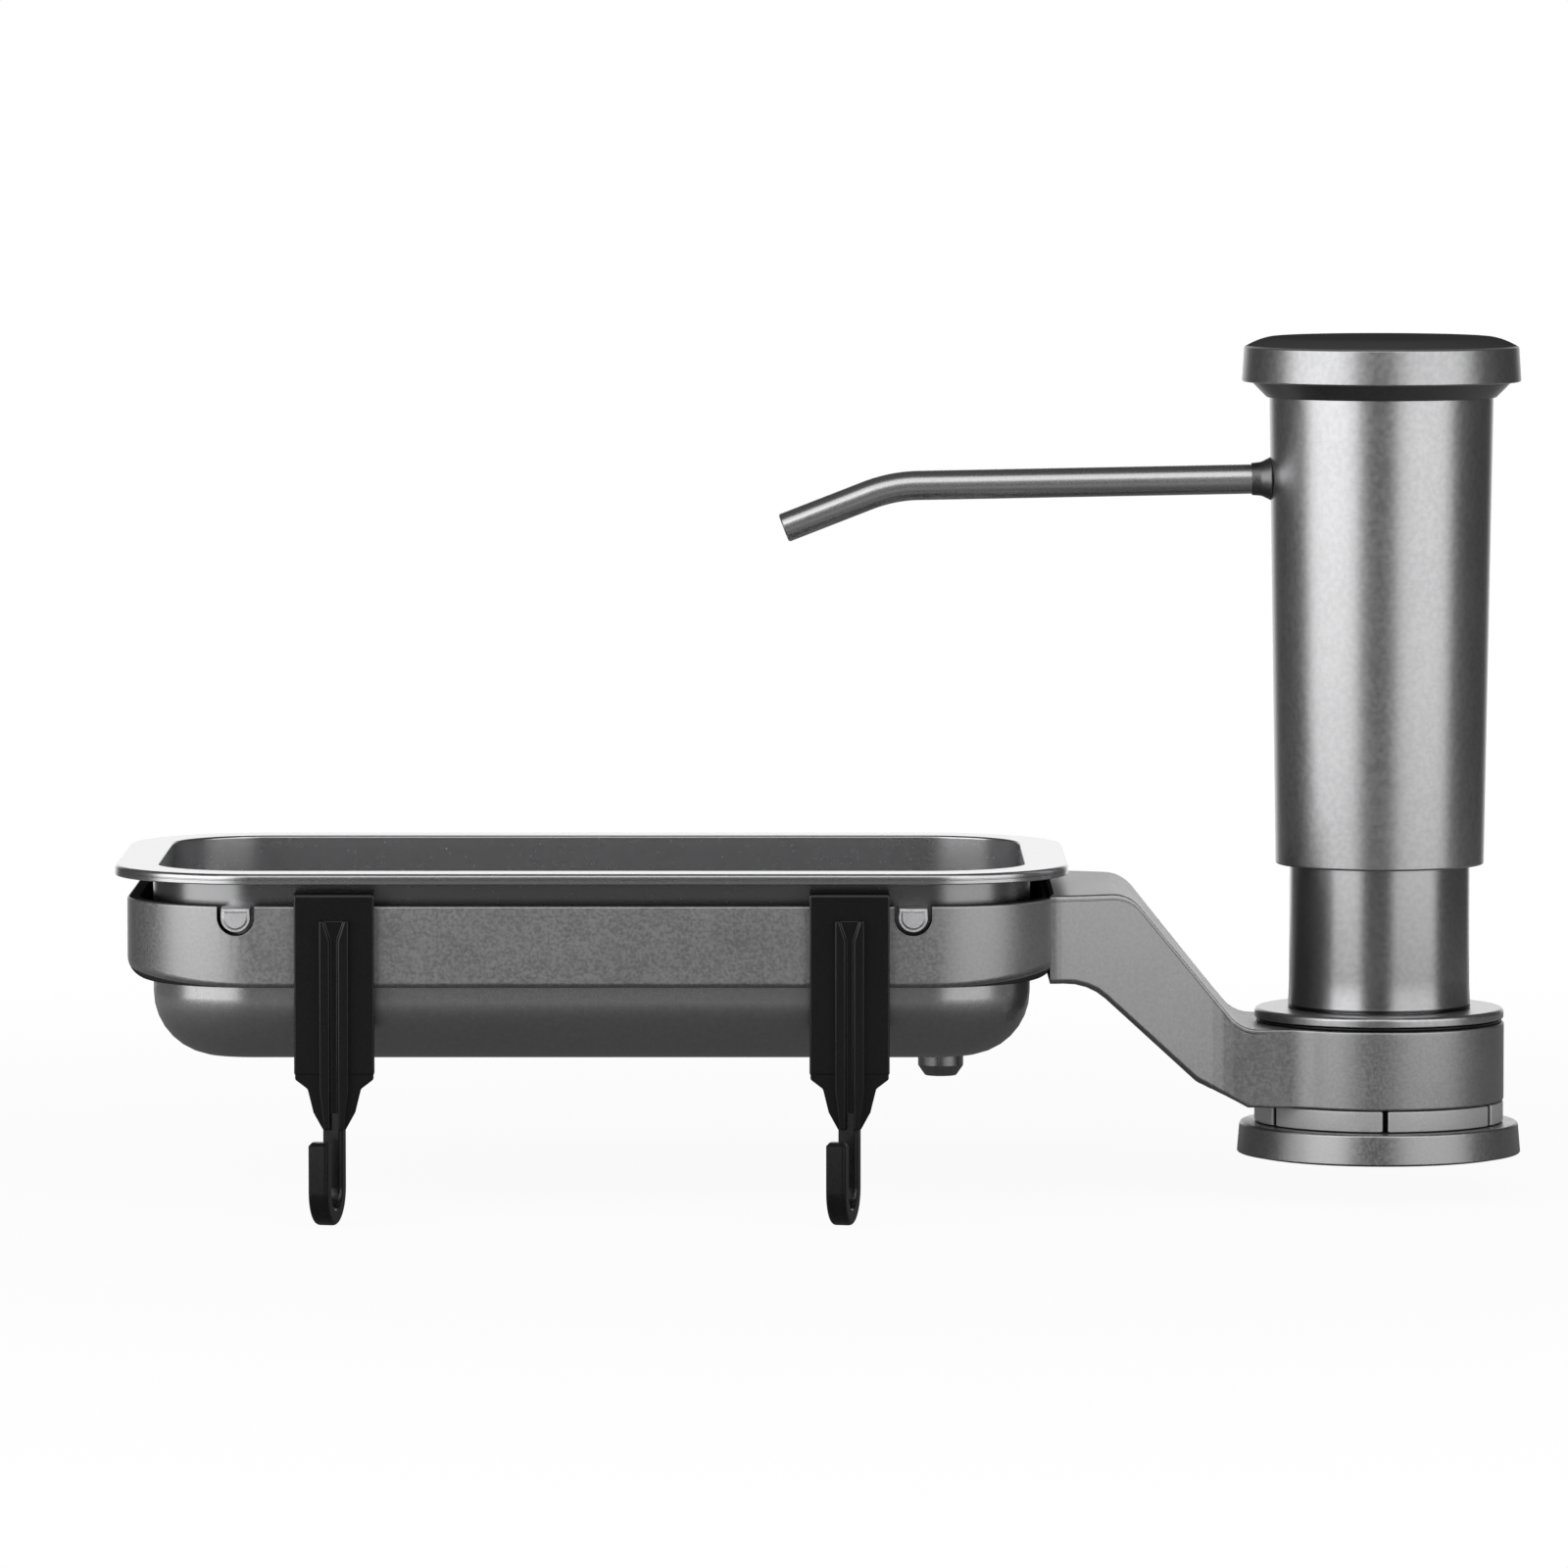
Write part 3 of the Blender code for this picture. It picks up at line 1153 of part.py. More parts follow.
def build_drain(finish, gasket_finish, pivot):
    """A push-in nozzle: its head sits inside the tray on a rubber ring, its tip hangs below."""
    gasket_bottom = tray_bottom + TRAY_WALL + SEAT_GAP
    gasket_top = gasket_bottom + DRAIN_GASKET_THICKNESS
    head_bottom = gasket_top + SEAT_GAP
    head_top = head_bottom + NOZZLE_HEAD_HEIGHT
    head_radius = NOZZLE_RADIUS + NOZZLE_HEAD_FLARE
    tip = tray_bottom - NOZZLE_DROP
    profile = [
        (head_radius, head_bottom),
        (head_radius, head_top),
        (NOZZLE_BORE, head_top),
        (NOZZLE_BORE, tip),
        (NOZZLE_RADIUS - NOZZLE_TIP_TAPER, tip),
        (NOZZLE_RADIUS, tip + NOZZLE_TIP_HEIGHT),
        (NOZZLE_RADIUS, head_bottom),
    ]
    nozzle = turned(profile, HIDDEN_FACETS)
    bmesh.ops.translate(nozzle, verts=nozzle.verts, vec=(nozzle_x, 0.0, 0.0))
    make_object("drain_nozzle", nozzle, finish, pivot)
    inner = NOZZLE_RADIUS + SLIP_GAP
    ring = turned([(inner, gasket_bottom), (inner, gasket_top), (head_radius, gasket_top),
                   (head_radius, gasket_bottom)], HIDDEN_FACETS)
    bmesh.ops.translate(ring, verts=ring.verts, vec=(nozzle_x, 0.0, 0.0))
    make_object("drain_gasket", ring, gasket_finish, pivot)


# Hooks

def hook_side_outline():
    """Side view of the strap: down the front, over the ring's top edge and a little way inside."""
    back = -(ring_face_y + GUIDE_GAP)
    front = back - HOOK_STRAP
    inside = -(ring_face_y - RING_WALL - GUIDE_GAP)
    clip_back = inside + HOOK_CLIP_THICKNESS
    under = ring_top + GUIDE_GAP
    clip_end = ring_top - HOOK_CLIP_LENGTH
    return rounded([
        (front, hook_shoulder_z, 0),
        (back, hook_shoulder_z, 0),
        (back, under, 0),
        (inside, under, 0),
        (inside, clip_end, 0),
        (clip_back, clip_end, 0),
        (clip_back, hook_top, HOOK_CLIP_THICKNESS / 2),
        (front, hook_top, HOOK_STRAP / 2),
    ])


def build_hook(name, x, finish, pivot):
    """Strap, stepped taper, grooved rib and J in one moulding."""
    half = HOOK_WIDTH / 2
    hook = make_object(name, prism(hook_side_outline(), x - half, x + half, along_x), finish, pivot)
    back = -(ring_face_y + GUIDE_GAP)
    front = back - HOOK_STRAP
    bar_half = HOOK_BAR_WIDTH / 2
    step_z = hook_shoulder_z - HOOK_STEP_DROP
    waist_z = hook_shoulder_z - HOOK_WAIST_DROP
    neck_z = hook_shoulder_z - HOOK_NECK_DROP
    right = [
        (half - HOOK_SKIN, hook_shoulder_z + CUT_MARGIN),
        (half - HOOK_SKIN, hook_shoulder_z - HOOK_STEP_DROP / 3),
        (HOOK_STEP_HALF_WIDTH, step_z),
        (HOOK_WAIST_HALF_WIDTH, waist_z),
        (bar_half + HOOK_SKIN, neck_z),
    ]
    taper = [(x - a, b) for a, b in right] + [(x + a, b) for a, b in reversed(right)]
    plate = prism(taper, back - HOOK_SKIN, front + HOOK_SKIN, along_y)
    combine(hook, make_tool(name + "_taper", plate, pivot), "UNION")

    rib_half = HOOK_RIB_WIDTH / 2
    rib_top = ring_top - HOOK_RIB_TOP_DROP
    rib_front = front - HOOK_RIB_PROUD
    rib_side = [(rib_half, rib_top), (rib_half, step_z), (bar_half, neck_z + HOOK_SKIN)]
    outline = [(x - a, b) for a, b in rib_side] + [(x + a, b) for a, b in reversed(rib_side)]
    rib = prism(outline, back - HOOK_STRAP / 2, rib_front, along_y)
    combine(hook, make_tool(name + "_rib", rib, pivot), "UNION")

    # The J turns forward and a little to the left, in a vertical plane.
    bar_y = front + HOOK_STRAP / 2 - HOOK_SKIN
    out = Vector((-sin(HOOK_TURN), -cos(HOOK_TURN), 0.0))
    shank = Vector((x, bar_y, 0.0))
    middle = shank + out * HOOK_BEND_RADIUS
    path = [shank + Vector((0, 0, waist_z))]
    for step in range(HOOK_BEND_STEPS + 1):
        angle = pi * step / HOOK_BEND_STEPS
        side_step = out * (-HOOK_BEND_RADIUS * cos(angle))
        path.append(middle + side_step + Vector((0, 0, hook_bend_z - HOOK_BEND_RADIUS * sin(angle))))
    path.append(shank + out * (2 * HOOK_BEND_RADIUS) + Vector((0, 0, hook_bend_z + HOOK_TIP_ABOVE_BEND)))
    thick = HOOK_BAR_THICKNESS / 2
    inner_half = bar_half - HOOK_BAR_CORNER
    inner_thick = thick - HOOK_BAR_CORNER
    section = [(bar_half, -inner_thick), (bar_half, inner_thick), (inner_half, thick), (-inner_half, thick),
               (-bar_half, inner_thick), (-bar_half, -inner_thick), (-inner_half, -thick), (inner_half, -thick)]
    combine(hook, make_tool(name + "_bar", swept(path, section), pivot), "UNION")

    groove_half = HOOK_GROOVE_WIDTH / 2
    mouth_half = HOOK_GROOVE_MOUTH / 2
    mouth_bottom = rib_top - HOOK_GROOVE_MOUTH_HEIGHT
    groove_side = [(mouth_half, rib_top + HOOK_GROOVE_MOUTH_HEIGHT / 2), (mouth_half, rib_top),
                   (groove_half, mouth_bottom), (groove_half, neck_z)]
    outline = [(x - a, b) for a, b in groove_side] + [(x + a, b) for a, b in reversed(groove_side)]
    groove = prism(outline, rib_front + HOOK_GROOVE_DEPTH, rib_front - HOOK_STRAP, along_y)
    combine(hook, make_tool(name + "_groove", groove, pivot), "DIFFERENCE")


def build():
    clear_scene()
    gun_grey = make_material("gun_grey_metal", (0.23, 0.23, 0.235), 0.38, 0.85)
    cast_grey = make_material("cast_grey", (0.27, 0.27, 0.275), 0.45, 0.8)
    tray_grey = make_material("tray_grey", (0.2, 0.2, 0.205), 0.35, 0.85)
    pale_grey = make_material("pale_ring", (0.42, 0.42, 0.42), 0.4, 0.7)
    steel = make_material("plain_steel", (0.5, 0.5, 0.5), 0.3, 1.0)
    black_plastic = make_material("black_plastic", (0.012, 0.012, 0.012), 0.35, 0.0)
    white_plastic = make_material("white_plastic", (0.75, 0.75, 0.73), 0.5, 0.0)
    rubber = make_material("black_rubber", (0.02, 0.02, 0.02), 0.8, 0.0)

    pump_axis = make_pivot("pump_axis", (0.0, 0.0, stem_top))
    head_axis = make_pivot("head_axis", (0.0, 0.0, core_bottom), pump_axis)
    rack_axis = make_pivot("rack_axis", (0.0, 0.0, collar_bottom))
    tray_guide = make_pivot("tray_guide", (rack_centre_x, 0.0, ring_top), rack_axis)

    build_deck_gasket(rubber)
    build_base_flange(gun_grey)
    build_shank_and_nuts(steel)
    build_detent_ring(pale_grey)
    build_upper_washer(black_plastic)
    build_neck(gun_grey)
    build_pump_closure(white_plastic, rubber)
    build_pump_cylinder(white_plastic)
    build_inlet_valve(white_plastic, steel)
    build_suction_tube(white_plastic)
    build_return_spring(steel)

    build_piston(white_plastic, rubber, steel, pump_axis)

    build_barrel(gun_grey, head_axis)
    build_barrel_bush(black_plastic, head_axis)
    spout_start = build_head_core(white_plastic, head_axis)
    build_spout(spout_start, gun_grey, black_plastic, head_axis)
    build_press_cap(gun_grey, black_plastic, head_axis)

    build_rack_bracket(cast_grey, rack_axis)
    build_collar_bush(white_plastic, rack_axis)

    build_tray(tray_grey, tray_guide)
    build_pegs(cast_grey, tray_guide)
    build_drain(tray_grey, rubber, tray_guide)

    for hand, x in hook_places.items():
        guide = make_pivot("hook_guide_" + hand, (x, -ring_face_y, ring_top), rack_axis)
        build_hook("hook_" + hand, x, black_plastic, guide)


build()
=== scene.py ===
# Sink-mounted soap dispenser with a swivelling sponge rack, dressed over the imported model.
# Lengths are in metres, in the CAD's frame: +Z up, -X towards the rack, -Y towards the camera.

from math import asin, atan2, ceil, cos, pi, radians, sin, sqrt, tan

import bmesh
import bpy
import numpy as np
from mathutils import Matrix, Vector


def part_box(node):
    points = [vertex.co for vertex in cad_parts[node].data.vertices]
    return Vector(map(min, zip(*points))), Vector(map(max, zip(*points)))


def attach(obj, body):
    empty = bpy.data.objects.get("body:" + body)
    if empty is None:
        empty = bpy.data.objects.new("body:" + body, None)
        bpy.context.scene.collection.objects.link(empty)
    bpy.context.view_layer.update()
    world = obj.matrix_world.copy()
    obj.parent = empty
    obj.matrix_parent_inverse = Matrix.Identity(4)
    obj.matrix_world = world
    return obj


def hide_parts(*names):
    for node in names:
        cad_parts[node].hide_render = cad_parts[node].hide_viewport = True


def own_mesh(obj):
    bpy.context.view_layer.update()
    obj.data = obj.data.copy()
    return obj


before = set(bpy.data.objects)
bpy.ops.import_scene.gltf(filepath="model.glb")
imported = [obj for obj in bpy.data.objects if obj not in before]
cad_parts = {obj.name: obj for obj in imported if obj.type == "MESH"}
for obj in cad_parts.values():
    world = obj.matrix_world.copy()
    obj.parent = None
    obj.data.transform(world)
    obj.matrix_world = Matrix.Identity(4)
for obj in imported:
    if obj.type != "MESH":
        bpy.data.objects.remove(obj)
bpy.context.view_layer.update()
MM = 0.001


# Camera. It stands far off and a little above the tray, with a long lens,
# so that upright edges stay upright and round tops show as thin ellipses.

SIGHT_X = -0.1368
SIGHT_Z = 0.08505
CAMERA_AWAY = 2.475
CAMERA_Z = 0.2695
LENS_LENGTH = 248.2
SENSOR_WIDTH = 36.0

sight = Vector((SIGHT_X, 0.0, SIGHT_Z))
stand = Vector((SIGHT_X, -CAMERA_AWAY, CAMERA_Z))
camera_data = bpy.data.cameras.new("camera")
camera_data.lens = LENS_LENGTH
camera_data.sensor_width = SENSOR_WIDTH
camera_data.sensor_fit = "HORIZONTAL"
camera = bpy.data.objects.new("camera", camera_data)
camera.location = stand
camera.rotation_euler = (sight - stand).to_track_quat("-Z", "Y").to_euler()
bpy.context.collection.objects.link(camera)
bpy.context.scene.camera = camera
bpy.context.scene.view_settings.view_transform = "Standard"


# Floor and light. Two tall softboxes stand to the left and right in front, a third above
# them, a white sheet hangs behind, and the floor is a white table top that keeps the shadow.

FLOOR_Z = -9.5 * MM
FLOOR_RADIUS = 0.66
FLOOR_SIDES = 96
LAMP_DISTANCE = 1.3
ROOM_GLOW = 0.09
SHEET_GLOW = 1.5
SHEET_SIDES = (0.86, 0.97)
SHEET_TOP = (0.35, 0.5)
TABLE_TONE = 0.9
SHADOW_SHARE = 0.06
SHADOW_REACH = (0.15, 0.62)
MIRRORED_NEAR = 0.1
MIRRORED_FAR = 0.26
MIRRORED_REACH = (0.1, 0.36)


class Value:
    """An output socket. Python's operators on it add Math nodes to its tree."""

    def __init__(self, nodes, socket):
        self.nodes = nodes
        self.socket = socket

    def beside(self, name):
        """Another output of the same node."""
        return Value(self.nodes, self.socket.node.outputs[name])

    def math(self, operation, *others):
        return self.nodes.add("ShaderNodeMath", {"operation": operation}, dict(enumerate((self, *others))))

    def __add__(self, other):
        return self.math("ADD", other)

    def __sub__(self, other):
        return self.math("SUBTRACT", other)

    def __rsub__(self, other):
        return self.nodes.add("ShaderNodeMath", {"operation": "SUBTRACT"}, {0: other, 1: self})

    def __mul__(self, other):
        return self.math("MULTIPLY", other)

    __radd__ = __add__
    __rmul__ = __mul__


class Nodes:
    """The node tree of a material or of the world."""

    def __init__(self, tree):
        self.tree = tree

    def add(self, kind, settings, inputs, output=0):
        node = self.tree.nodes.new(kind)
        for name, value in settings.items():
            setattr(node, name, value)
        for name, value in inputs.items():
            self.connect(value, node.inputs[name])
        return Value(self, node.outputs[output])

    def connect(self, value, socket):
        if isinstance(value, Value):
            self.tree.links.new(value.socket, socket)
        else:
            socket.default_value = value

    def ramp(self, value, start, end):
        """0 before start and 1 after end, with a soft passage between."""
        return self.add("ShaderNodeMapRange", {"interpolation_type": "SMOOTHSTEP"},
                        {"Value": value, "From Min": start, "From Max": end})


def softbox(name, turn, lift, width, tall, radiance):
    """A lamp panel at an angle from the camera's side, seen only by what it lights."""
    panel = bpy.data.lights.new(name, "AREA")
    panel.shape = "RECTANGLE"
    panel.size = width
    panel.size_y = tall
    panel.energy = radiance * pi * width * tall
    lamp = bpy.data.objects.new(name, panel)
    direction = Vector((sin(turn) * cos(lift), -cos(turn) * cos(lift), sin(lift)))
    lamp.location = Vector((sight.x / 2, 0.0, sight.z)) + direction * LAMP_DISTANCE
    lamp.rotation_euler = direction.to_track_quat("Z", "Y").to_euler()
    lamp.visible_camera = False
    bpy.context.collection.objects.link(lamp)


softbox("softbox_left", turn=radians(-54.0), lift=radians(11.0), width=1.56, tall=1.3, radiance=2.35)
softbox("softbox_right", turn=radians(45.0), lift=radians(11.0), width=1.5, tall=1.3, radiance=1.6)
softbox("softbox_above", turn=0.0, lift=radians(46.0), width=1.5, tall=0.9, radiance=1.2)

studio = bpy.data.worlds.new("studio")
bpy.context.scene.world = studio
studio.use_nodes = True
studio.node_tree.nodes.clear()
sky = Nodes(studio.node_tree)
direction = sky.add("ShaderNodeTexCoord", {}, {}, "Generated")
across = sky.add("ShaderNodeSeparateXYZ", {}, {"Vector": direction})
behind = sky.ramp(across.beside("Y"), *SHEET_SIDES) * (1.0 - sky.ramp(across.beside("Z"), *SHEET_TOP))
glow = ROOM_GLOW + SHEET_GLOW * behind
surround = sky.add("ShaderNodeBackground", {}, {"Color": (1, 1, 1, 1), "Strength": glow})
white = sky.add("ShaderNodeBackground", {}, {"Color": (1, 1, 1, 1), "Strength": 1.0})
eye = sky.add("ShaderNodeLightPath", {}, {}, "Is Camera Ray")
shown = sky.add("ShaderNodeMixShader", {}, {0: eye, 1: surround, 2: white})
world_output = studio.node_tree.nodes.new("ShaderNodeOutputWorld")
sky.connect(shown, world_output.inputs["Surface"])

table_paint = bpy.data.materials.new("table_paint")
table_paint.use_nodes = True
table_paint.node_tree.nodes.clear()
table_nodes = Nodes(table_paint.node_tree)
place = table_nodes.add("ShaderNodeTexCoord", {}, {}, "Object")
away = table_nodes.add("ShaderNodeVectorMath", {"operation": "LENGTH"}, {0: place}, "Value")
out_of_shadow = table_nodes.ramp(away, *SHADOW_REACH)
# Painted shadow and painted reflection: in reflections the floor glows dim near the object and brighter
# farther off.
past_painted_floor_shadow = table_nodes.ramp(away, *MIRRORED_REACH)
ray = table_nodes.add("ShaderNodeLightPath", {}, {}, "Is Camera Ray")
mirrored = ray.beside("Is Glossy Ray").math("MAXIMUM", ray.beside("Is Transmission Ray"))
lit = table_nodes.add("ShaderNodeBsdfDiffuse", {}, {"Color": (TABLE_TONE, TABLE_TONE, TABLE_TONE, 1)})
strength = 1.0 - mirrored * (1.0 - MIRRORED_NEAR - (MIRRORED_FAR - MIRRORED_NEAR) * past_painted_floor_shadow)
glowing = table_nodes.add("ShaderNodeEmission", {}, {"Color": (1, 1, 1, 1), "Strength": strength})
share = ray * (1.0 - SHADOW_SHARE + SHADOW_SHARE * out_of_shadow) + mirrored
mixed = table_nodes.add("ShaderNodeMixShader", {}, {0: share, 1: lit, 2: glowing})
table_output = table_paint.node_tree.nodes.new("ShaderNodeOutputMaterial")
table_nodes.connect(mixed, table_output.inputs["Surface"])

disc = bmesh.new()
bmesh.ops.create_circle(disc, cap_ends=True, segments=FLOOR_SIDES, radius=FLOOR_RADIUS)
table_mesh = bpy.data.meshes.new("table_top")
disc.to_mesh(table_mesh)
disc.free()
table_mesh.materials.append(table_paint)
table = bpy.data.objects.new("table_top", table_mesh)
table.location = (sight.x, 0.0, FLOOR_Z)
bpy.context.collection.objects.link(table)


# Base disc. A slightly flared disc of satin gun-grey metal, turned on a lathe, that spreads the
# stack's weight on the sink. It stands on a rubber gasket that shows only as a thin dark line.

ROUND_STEPS = 144
SMALL_ROUND_STEPS = 64
FILLET_STEP = radians(12.0)
LEAST_FILLET_STEPS = 3
SHARP_ANGLE = radians(32.0)
BASE_RADIUS = 32.575 * MM
BASE_TOP_RADIUS = 31.975 * MM
BASE_BOTTOM = 0.4 * MM
BASE_TOP = 7.4 * MM
BASE_PLATE = 2.0 * MM
BASE_FOOT_ROUND = 0.3 * MM
BASE_EDGE_ROUND = 0.7 * MM
NUT_POCKET_RADIUS = 23.985 * MM
GASKET_SEAT_RADIUS = 30.575 * MM
GASKET_SEAT_Z = 2.05 * MM
SHANK_HOLE = 14.3 * MM
FINE_SHARE = 0.8
CLOUD_SHARE = 0.2
CLOUD_SCALE = 0.06
GRAIN_SPAN = (0.32, 0.68)
COOL_TINT = 1.015


class Finish(Nodes):
    """A material of one Principled shader. Constants are set on the shader's own sockets."""

    def __init__(self, name, constants):
        self.material = bpy.data.materials.new(name)
        self.material.use_nodes = True
        super().__init__(self.material.node_tree)
        self.shader = self.tree.nodes["Principled BSDF"]
        for socket, value in constants.items():
            self.shader.inputs[socket].default_value = value
        self.place = self.add("ShaderNodeTexCoord", {}, {}, "Object")

    def feed(self, socket, value):
        """Lead a value that changes over the surface to one of the shader's sockets."""
        self.connect(value, self.shader.inputs[socket])

    def noise(self, scale, detail):
        """A cloudy value between 0 and 1 that is fixed to the piece."""
        return self.add("ShaderNodeTexNoise", {}, {"Vector": self.place, "Scale": scale, "Detail": detail})

    def blend(self, share, first, second):
        """A colour between two colours."""
        return self.add("ShaderNodeMix", {"data_type": "RGBA"}, {0: share, 6: first, 7: second}, 2)


def grey(tone):
    """A colour of one tone, a trace cooler than neutral."""
    return (tone, tone, tone * COOL_TINT, 1.0)


def grained(finish, roughness, size=0.5 * MM, height=0.004 * MM, unevenness=0.12):
    """The fine grain of a blasted or sprayed surface, in its roughness and its relief."""
    fine = finish.noise(1.0 / size, detail=3.0)
    cloudy = finish.noise(CLOUD_SCALE / size, detail=2.0)
    grain = finish.ramp(fine * FINE_SHARE + cloudy * CLOUD_SHARE, *GRAIN_SPAN)
    finish.feed("Roughness", roughness * (1.0 - unevenness + grain * (2 * unevenness)))
    bump = finish.add("ShaderNodeBump", {}, {"Strength": 1.0, "Distance": height, "Height": fine})
    finish.feed("Normal", bump)
    return grain


def speckled(finish, tone, spread, roughness, **grain_sizes):
    """The same grain, and one tone that varies with it."""
    grain = grained(finish, roughness, **grain_sizes)
    finish.feed("Base Color", finish.blend(grain, grey(tone * (1 - spread)), grey(tone * (1 + spread))))


gun_grey = Finish("gun_grey_satin", {"Metallic": 1.0})
speckled(gun_grey, tone=0.42, spread=0.085, roughness=0.33,
         size=1.3 * MM, height=0.0035 * MM, unevenness=0.05)
base_grey = Finish("base_grey_satin", {"Metallic": 1.0})
speckled(base_grey, tone=0.34, spread=0.1, roughness=0.36, size=0.8 * MM, height=0.003 * MM)
rubber = Finish("black_rubber_matt", {"Specular IOR Level": 0.3})
speckled(rubber, tone=0.02, spread=0.2, roughness=0.8)


def rounded(corners):
    """An outline from (a, b, radius) corners. A radius of 0 leaves a corner sharp."""
    outline = []
    count = len(corners)
    for index, (a, b, radius) in enumerate(corners):
        if radius == 0:
            outline.append((a, b))
            continue
        corner = Vector((a, b))
        before_it = (Vector(corners[index - 1][:2]) - corner).normalized()
        after_it = (Vector(corners[(index + 1) % count][:2]) - corner).normalized()
        half = before_it.angle(after_it) / 2
        centre = corner + (before_it + after_it).normalized() * (radius / sin(half))
        first = corner + before_it * (radius / tan(half)) - centre
        last = corner + after_it * (radius / tan(half)) - centre
        sweep = last.angle_signed(first)
        steps = max(LEAST_FILLET_STEPS, ceil(abs(sweep) / FILLET_STEP))
        start = atan2(first.y, first.x)
        for step in range(steps + 1):
            angle = start + sweep * step / steps
            outline.append((centre.x + radius * cos(angle), centre.y + radius * sin(angle)))
    return outline


def lofted(loops, closed):
    """Join loops of equal length side by side, into a ring or into a body with two end faces."""
    body = bmesh.new()
    rows = [[body.verts.new(point) for point in loop] for loop in loops]
    pairs = list(zip(rows, rows[1:]))
    if closed:
        pairs.append((rows[-1], rows[0]))
    else:
        body.faces.new(rows[0])
        body.faces.new(list(reversed(rows[-1])))
    for near, far in pairs:
        for index in range(len(near)):
            after = (index + 1) % len(near)
            body.faces.new((near[index], near[after], far[after], far[index]))
    return body


def turned(profile, closed=True, steps=ROUND_STEPS):
    """Spin a profile of (radius, height) points round Z."""
    angles = [2 * pi * step / steps for step in range(steps)]
    return lofted([[(r * cos(a), r * sin(a), z) for a in angles] for r, z in profile], closed)


def make_piece(name, body, finish, carrier, slot, *nodes):
    """A smooth piece that rides on a CAD body and stands for the CAD nodes that are named."""
    bmesh.ops.recalc_face_normals(body, faces=body.faces)
    mesh = bpy.data.meshes.new(name)
    body.to_mesh(mesh)
    body.free()
    mesh.shade_smooth()
    mesh.set_sharp_from_angle(angle=SHARP_ANGLE)
    mesh.materials.append(finish.material)
    piece = bpy.data.objects.new(name, mesh)
    bpy.context.collection.objects.link(piece)
    flats = piece.modifiers.new("flat_faces_stay_flat", "WEIGHTED_NORMAL")
    flats.keep_sharp = True
    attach(piece, carrier)
    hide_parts(*nodes)
    return piece


def dress(node, finish):
    """Give a carried-over CAD node its finish."""
    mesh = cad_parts[node].data
    mesh.materials.clear()
    mesh.materials.append(finish.material)


base_profile = rounded([
    (BASE_RADIUS, BASE_BOTTOM, BASE_FOOT_ROUND),
    (BASE_TOP_RADIUS, BASE_TOP, BASE_EDGE_ROUND),
    (SHANK_HOLE, BASE_TOP, 0),
    (SHANK_HOLE, BASE_TOP - BASE_PLATE, 0),
    (NUT_POCKET_RADIUS, BASE_TOP - BASE_PLATE, 0),
    (NUT_POCKET_RADIUS, GASKET_SEAT_Z, 0),
    (GASKET_SEAT_RADIUS, GASKET_SEAT_Z, 0),
    (GASKET_SEAT_RADIUS, BASE_BOTTOM, 0),
])
make_piece("base_disc", turned(base_profile), base_grey, "root", "gun_grey", "base_flange")
dress("deck_gasket", rubber)


# Shank and nuts. Plain zinc-plated steel tube and hexagon nuts, which clamp the whole stack
# to the sink. They are hidden inside the neck and under the base.

steel = Finish("plain_steel", {"Metallic": 1.0})
speckled(steel, tone=0.55, spread=0.05, roughness=0.3)
for node in ("threaded_shank", "lock_nut", "top_nut"):
    dress(node, steel)


# Ring of pads. Six paler pads in a ring, parted by narrow slots, which the collar clicks over
# as it turns. Each pad's edges are rounded, so that its ends catch the light beside a slot.

PADS = 6
PAD_RADIUS = 28.575 * MM
PAD_BOTTOM = 7.65 * MM
PAD_TOP = 12.35 * MM
PAD_ROUND = 0.8 * MM
PAD_EDGE = 0.35 * MM
PAD_EDGE_MIDDLE = 0.1 * MM
PAD_STEPS = 22
PAD_END_STEPS = 6
PAD_METALLIC = 0.4
SLOT_WIDTH = 1.0 * MM
SLOT_DEPTH = 6.0 * MM
SLOT_PAINTED_SHADE = 0.25 * MM

pale_grey = Finish("pale_satin", {})
pale_grain = grained(pale_grey, roughness=0.42)
pad_x = pale_grey.add("ShaderNodeSeparateXYZ", {}, {"Vector": pale_grey.place})
pad_y = pad_x.beside("Y")
to_slot = 1.0
for slot_line in (pi / 2, pi / 6, -pi / 6):
    to_line = (pad_x * sin(slot_line) - pad_y * cos(slot_line)).math("ABSOLUTE")
    to_slot = to_line.math("MINIMUM", to_slot)
# Painted shade: the slots and a thin strip of each pad beside them are painted near black and not metallic.
painted_slot_shade = pale_grey.ramp(to_slot, SLOT_WIDTH / 2 + SLOT_PAINTED_SHADE, SLOT_WIDTH / 2)
pad_tone = pale_grey.blend(pale_grain, grey(0.4), grey(0.46))
pale_grey.feed("Base Color", pale_grey.blend(painted_slot_shade, pad_tone, grey(0.02)))
pale_grey.feed("Metallic", PAD_METALLIC - painted_slot_shade * PAD_METALLIC)


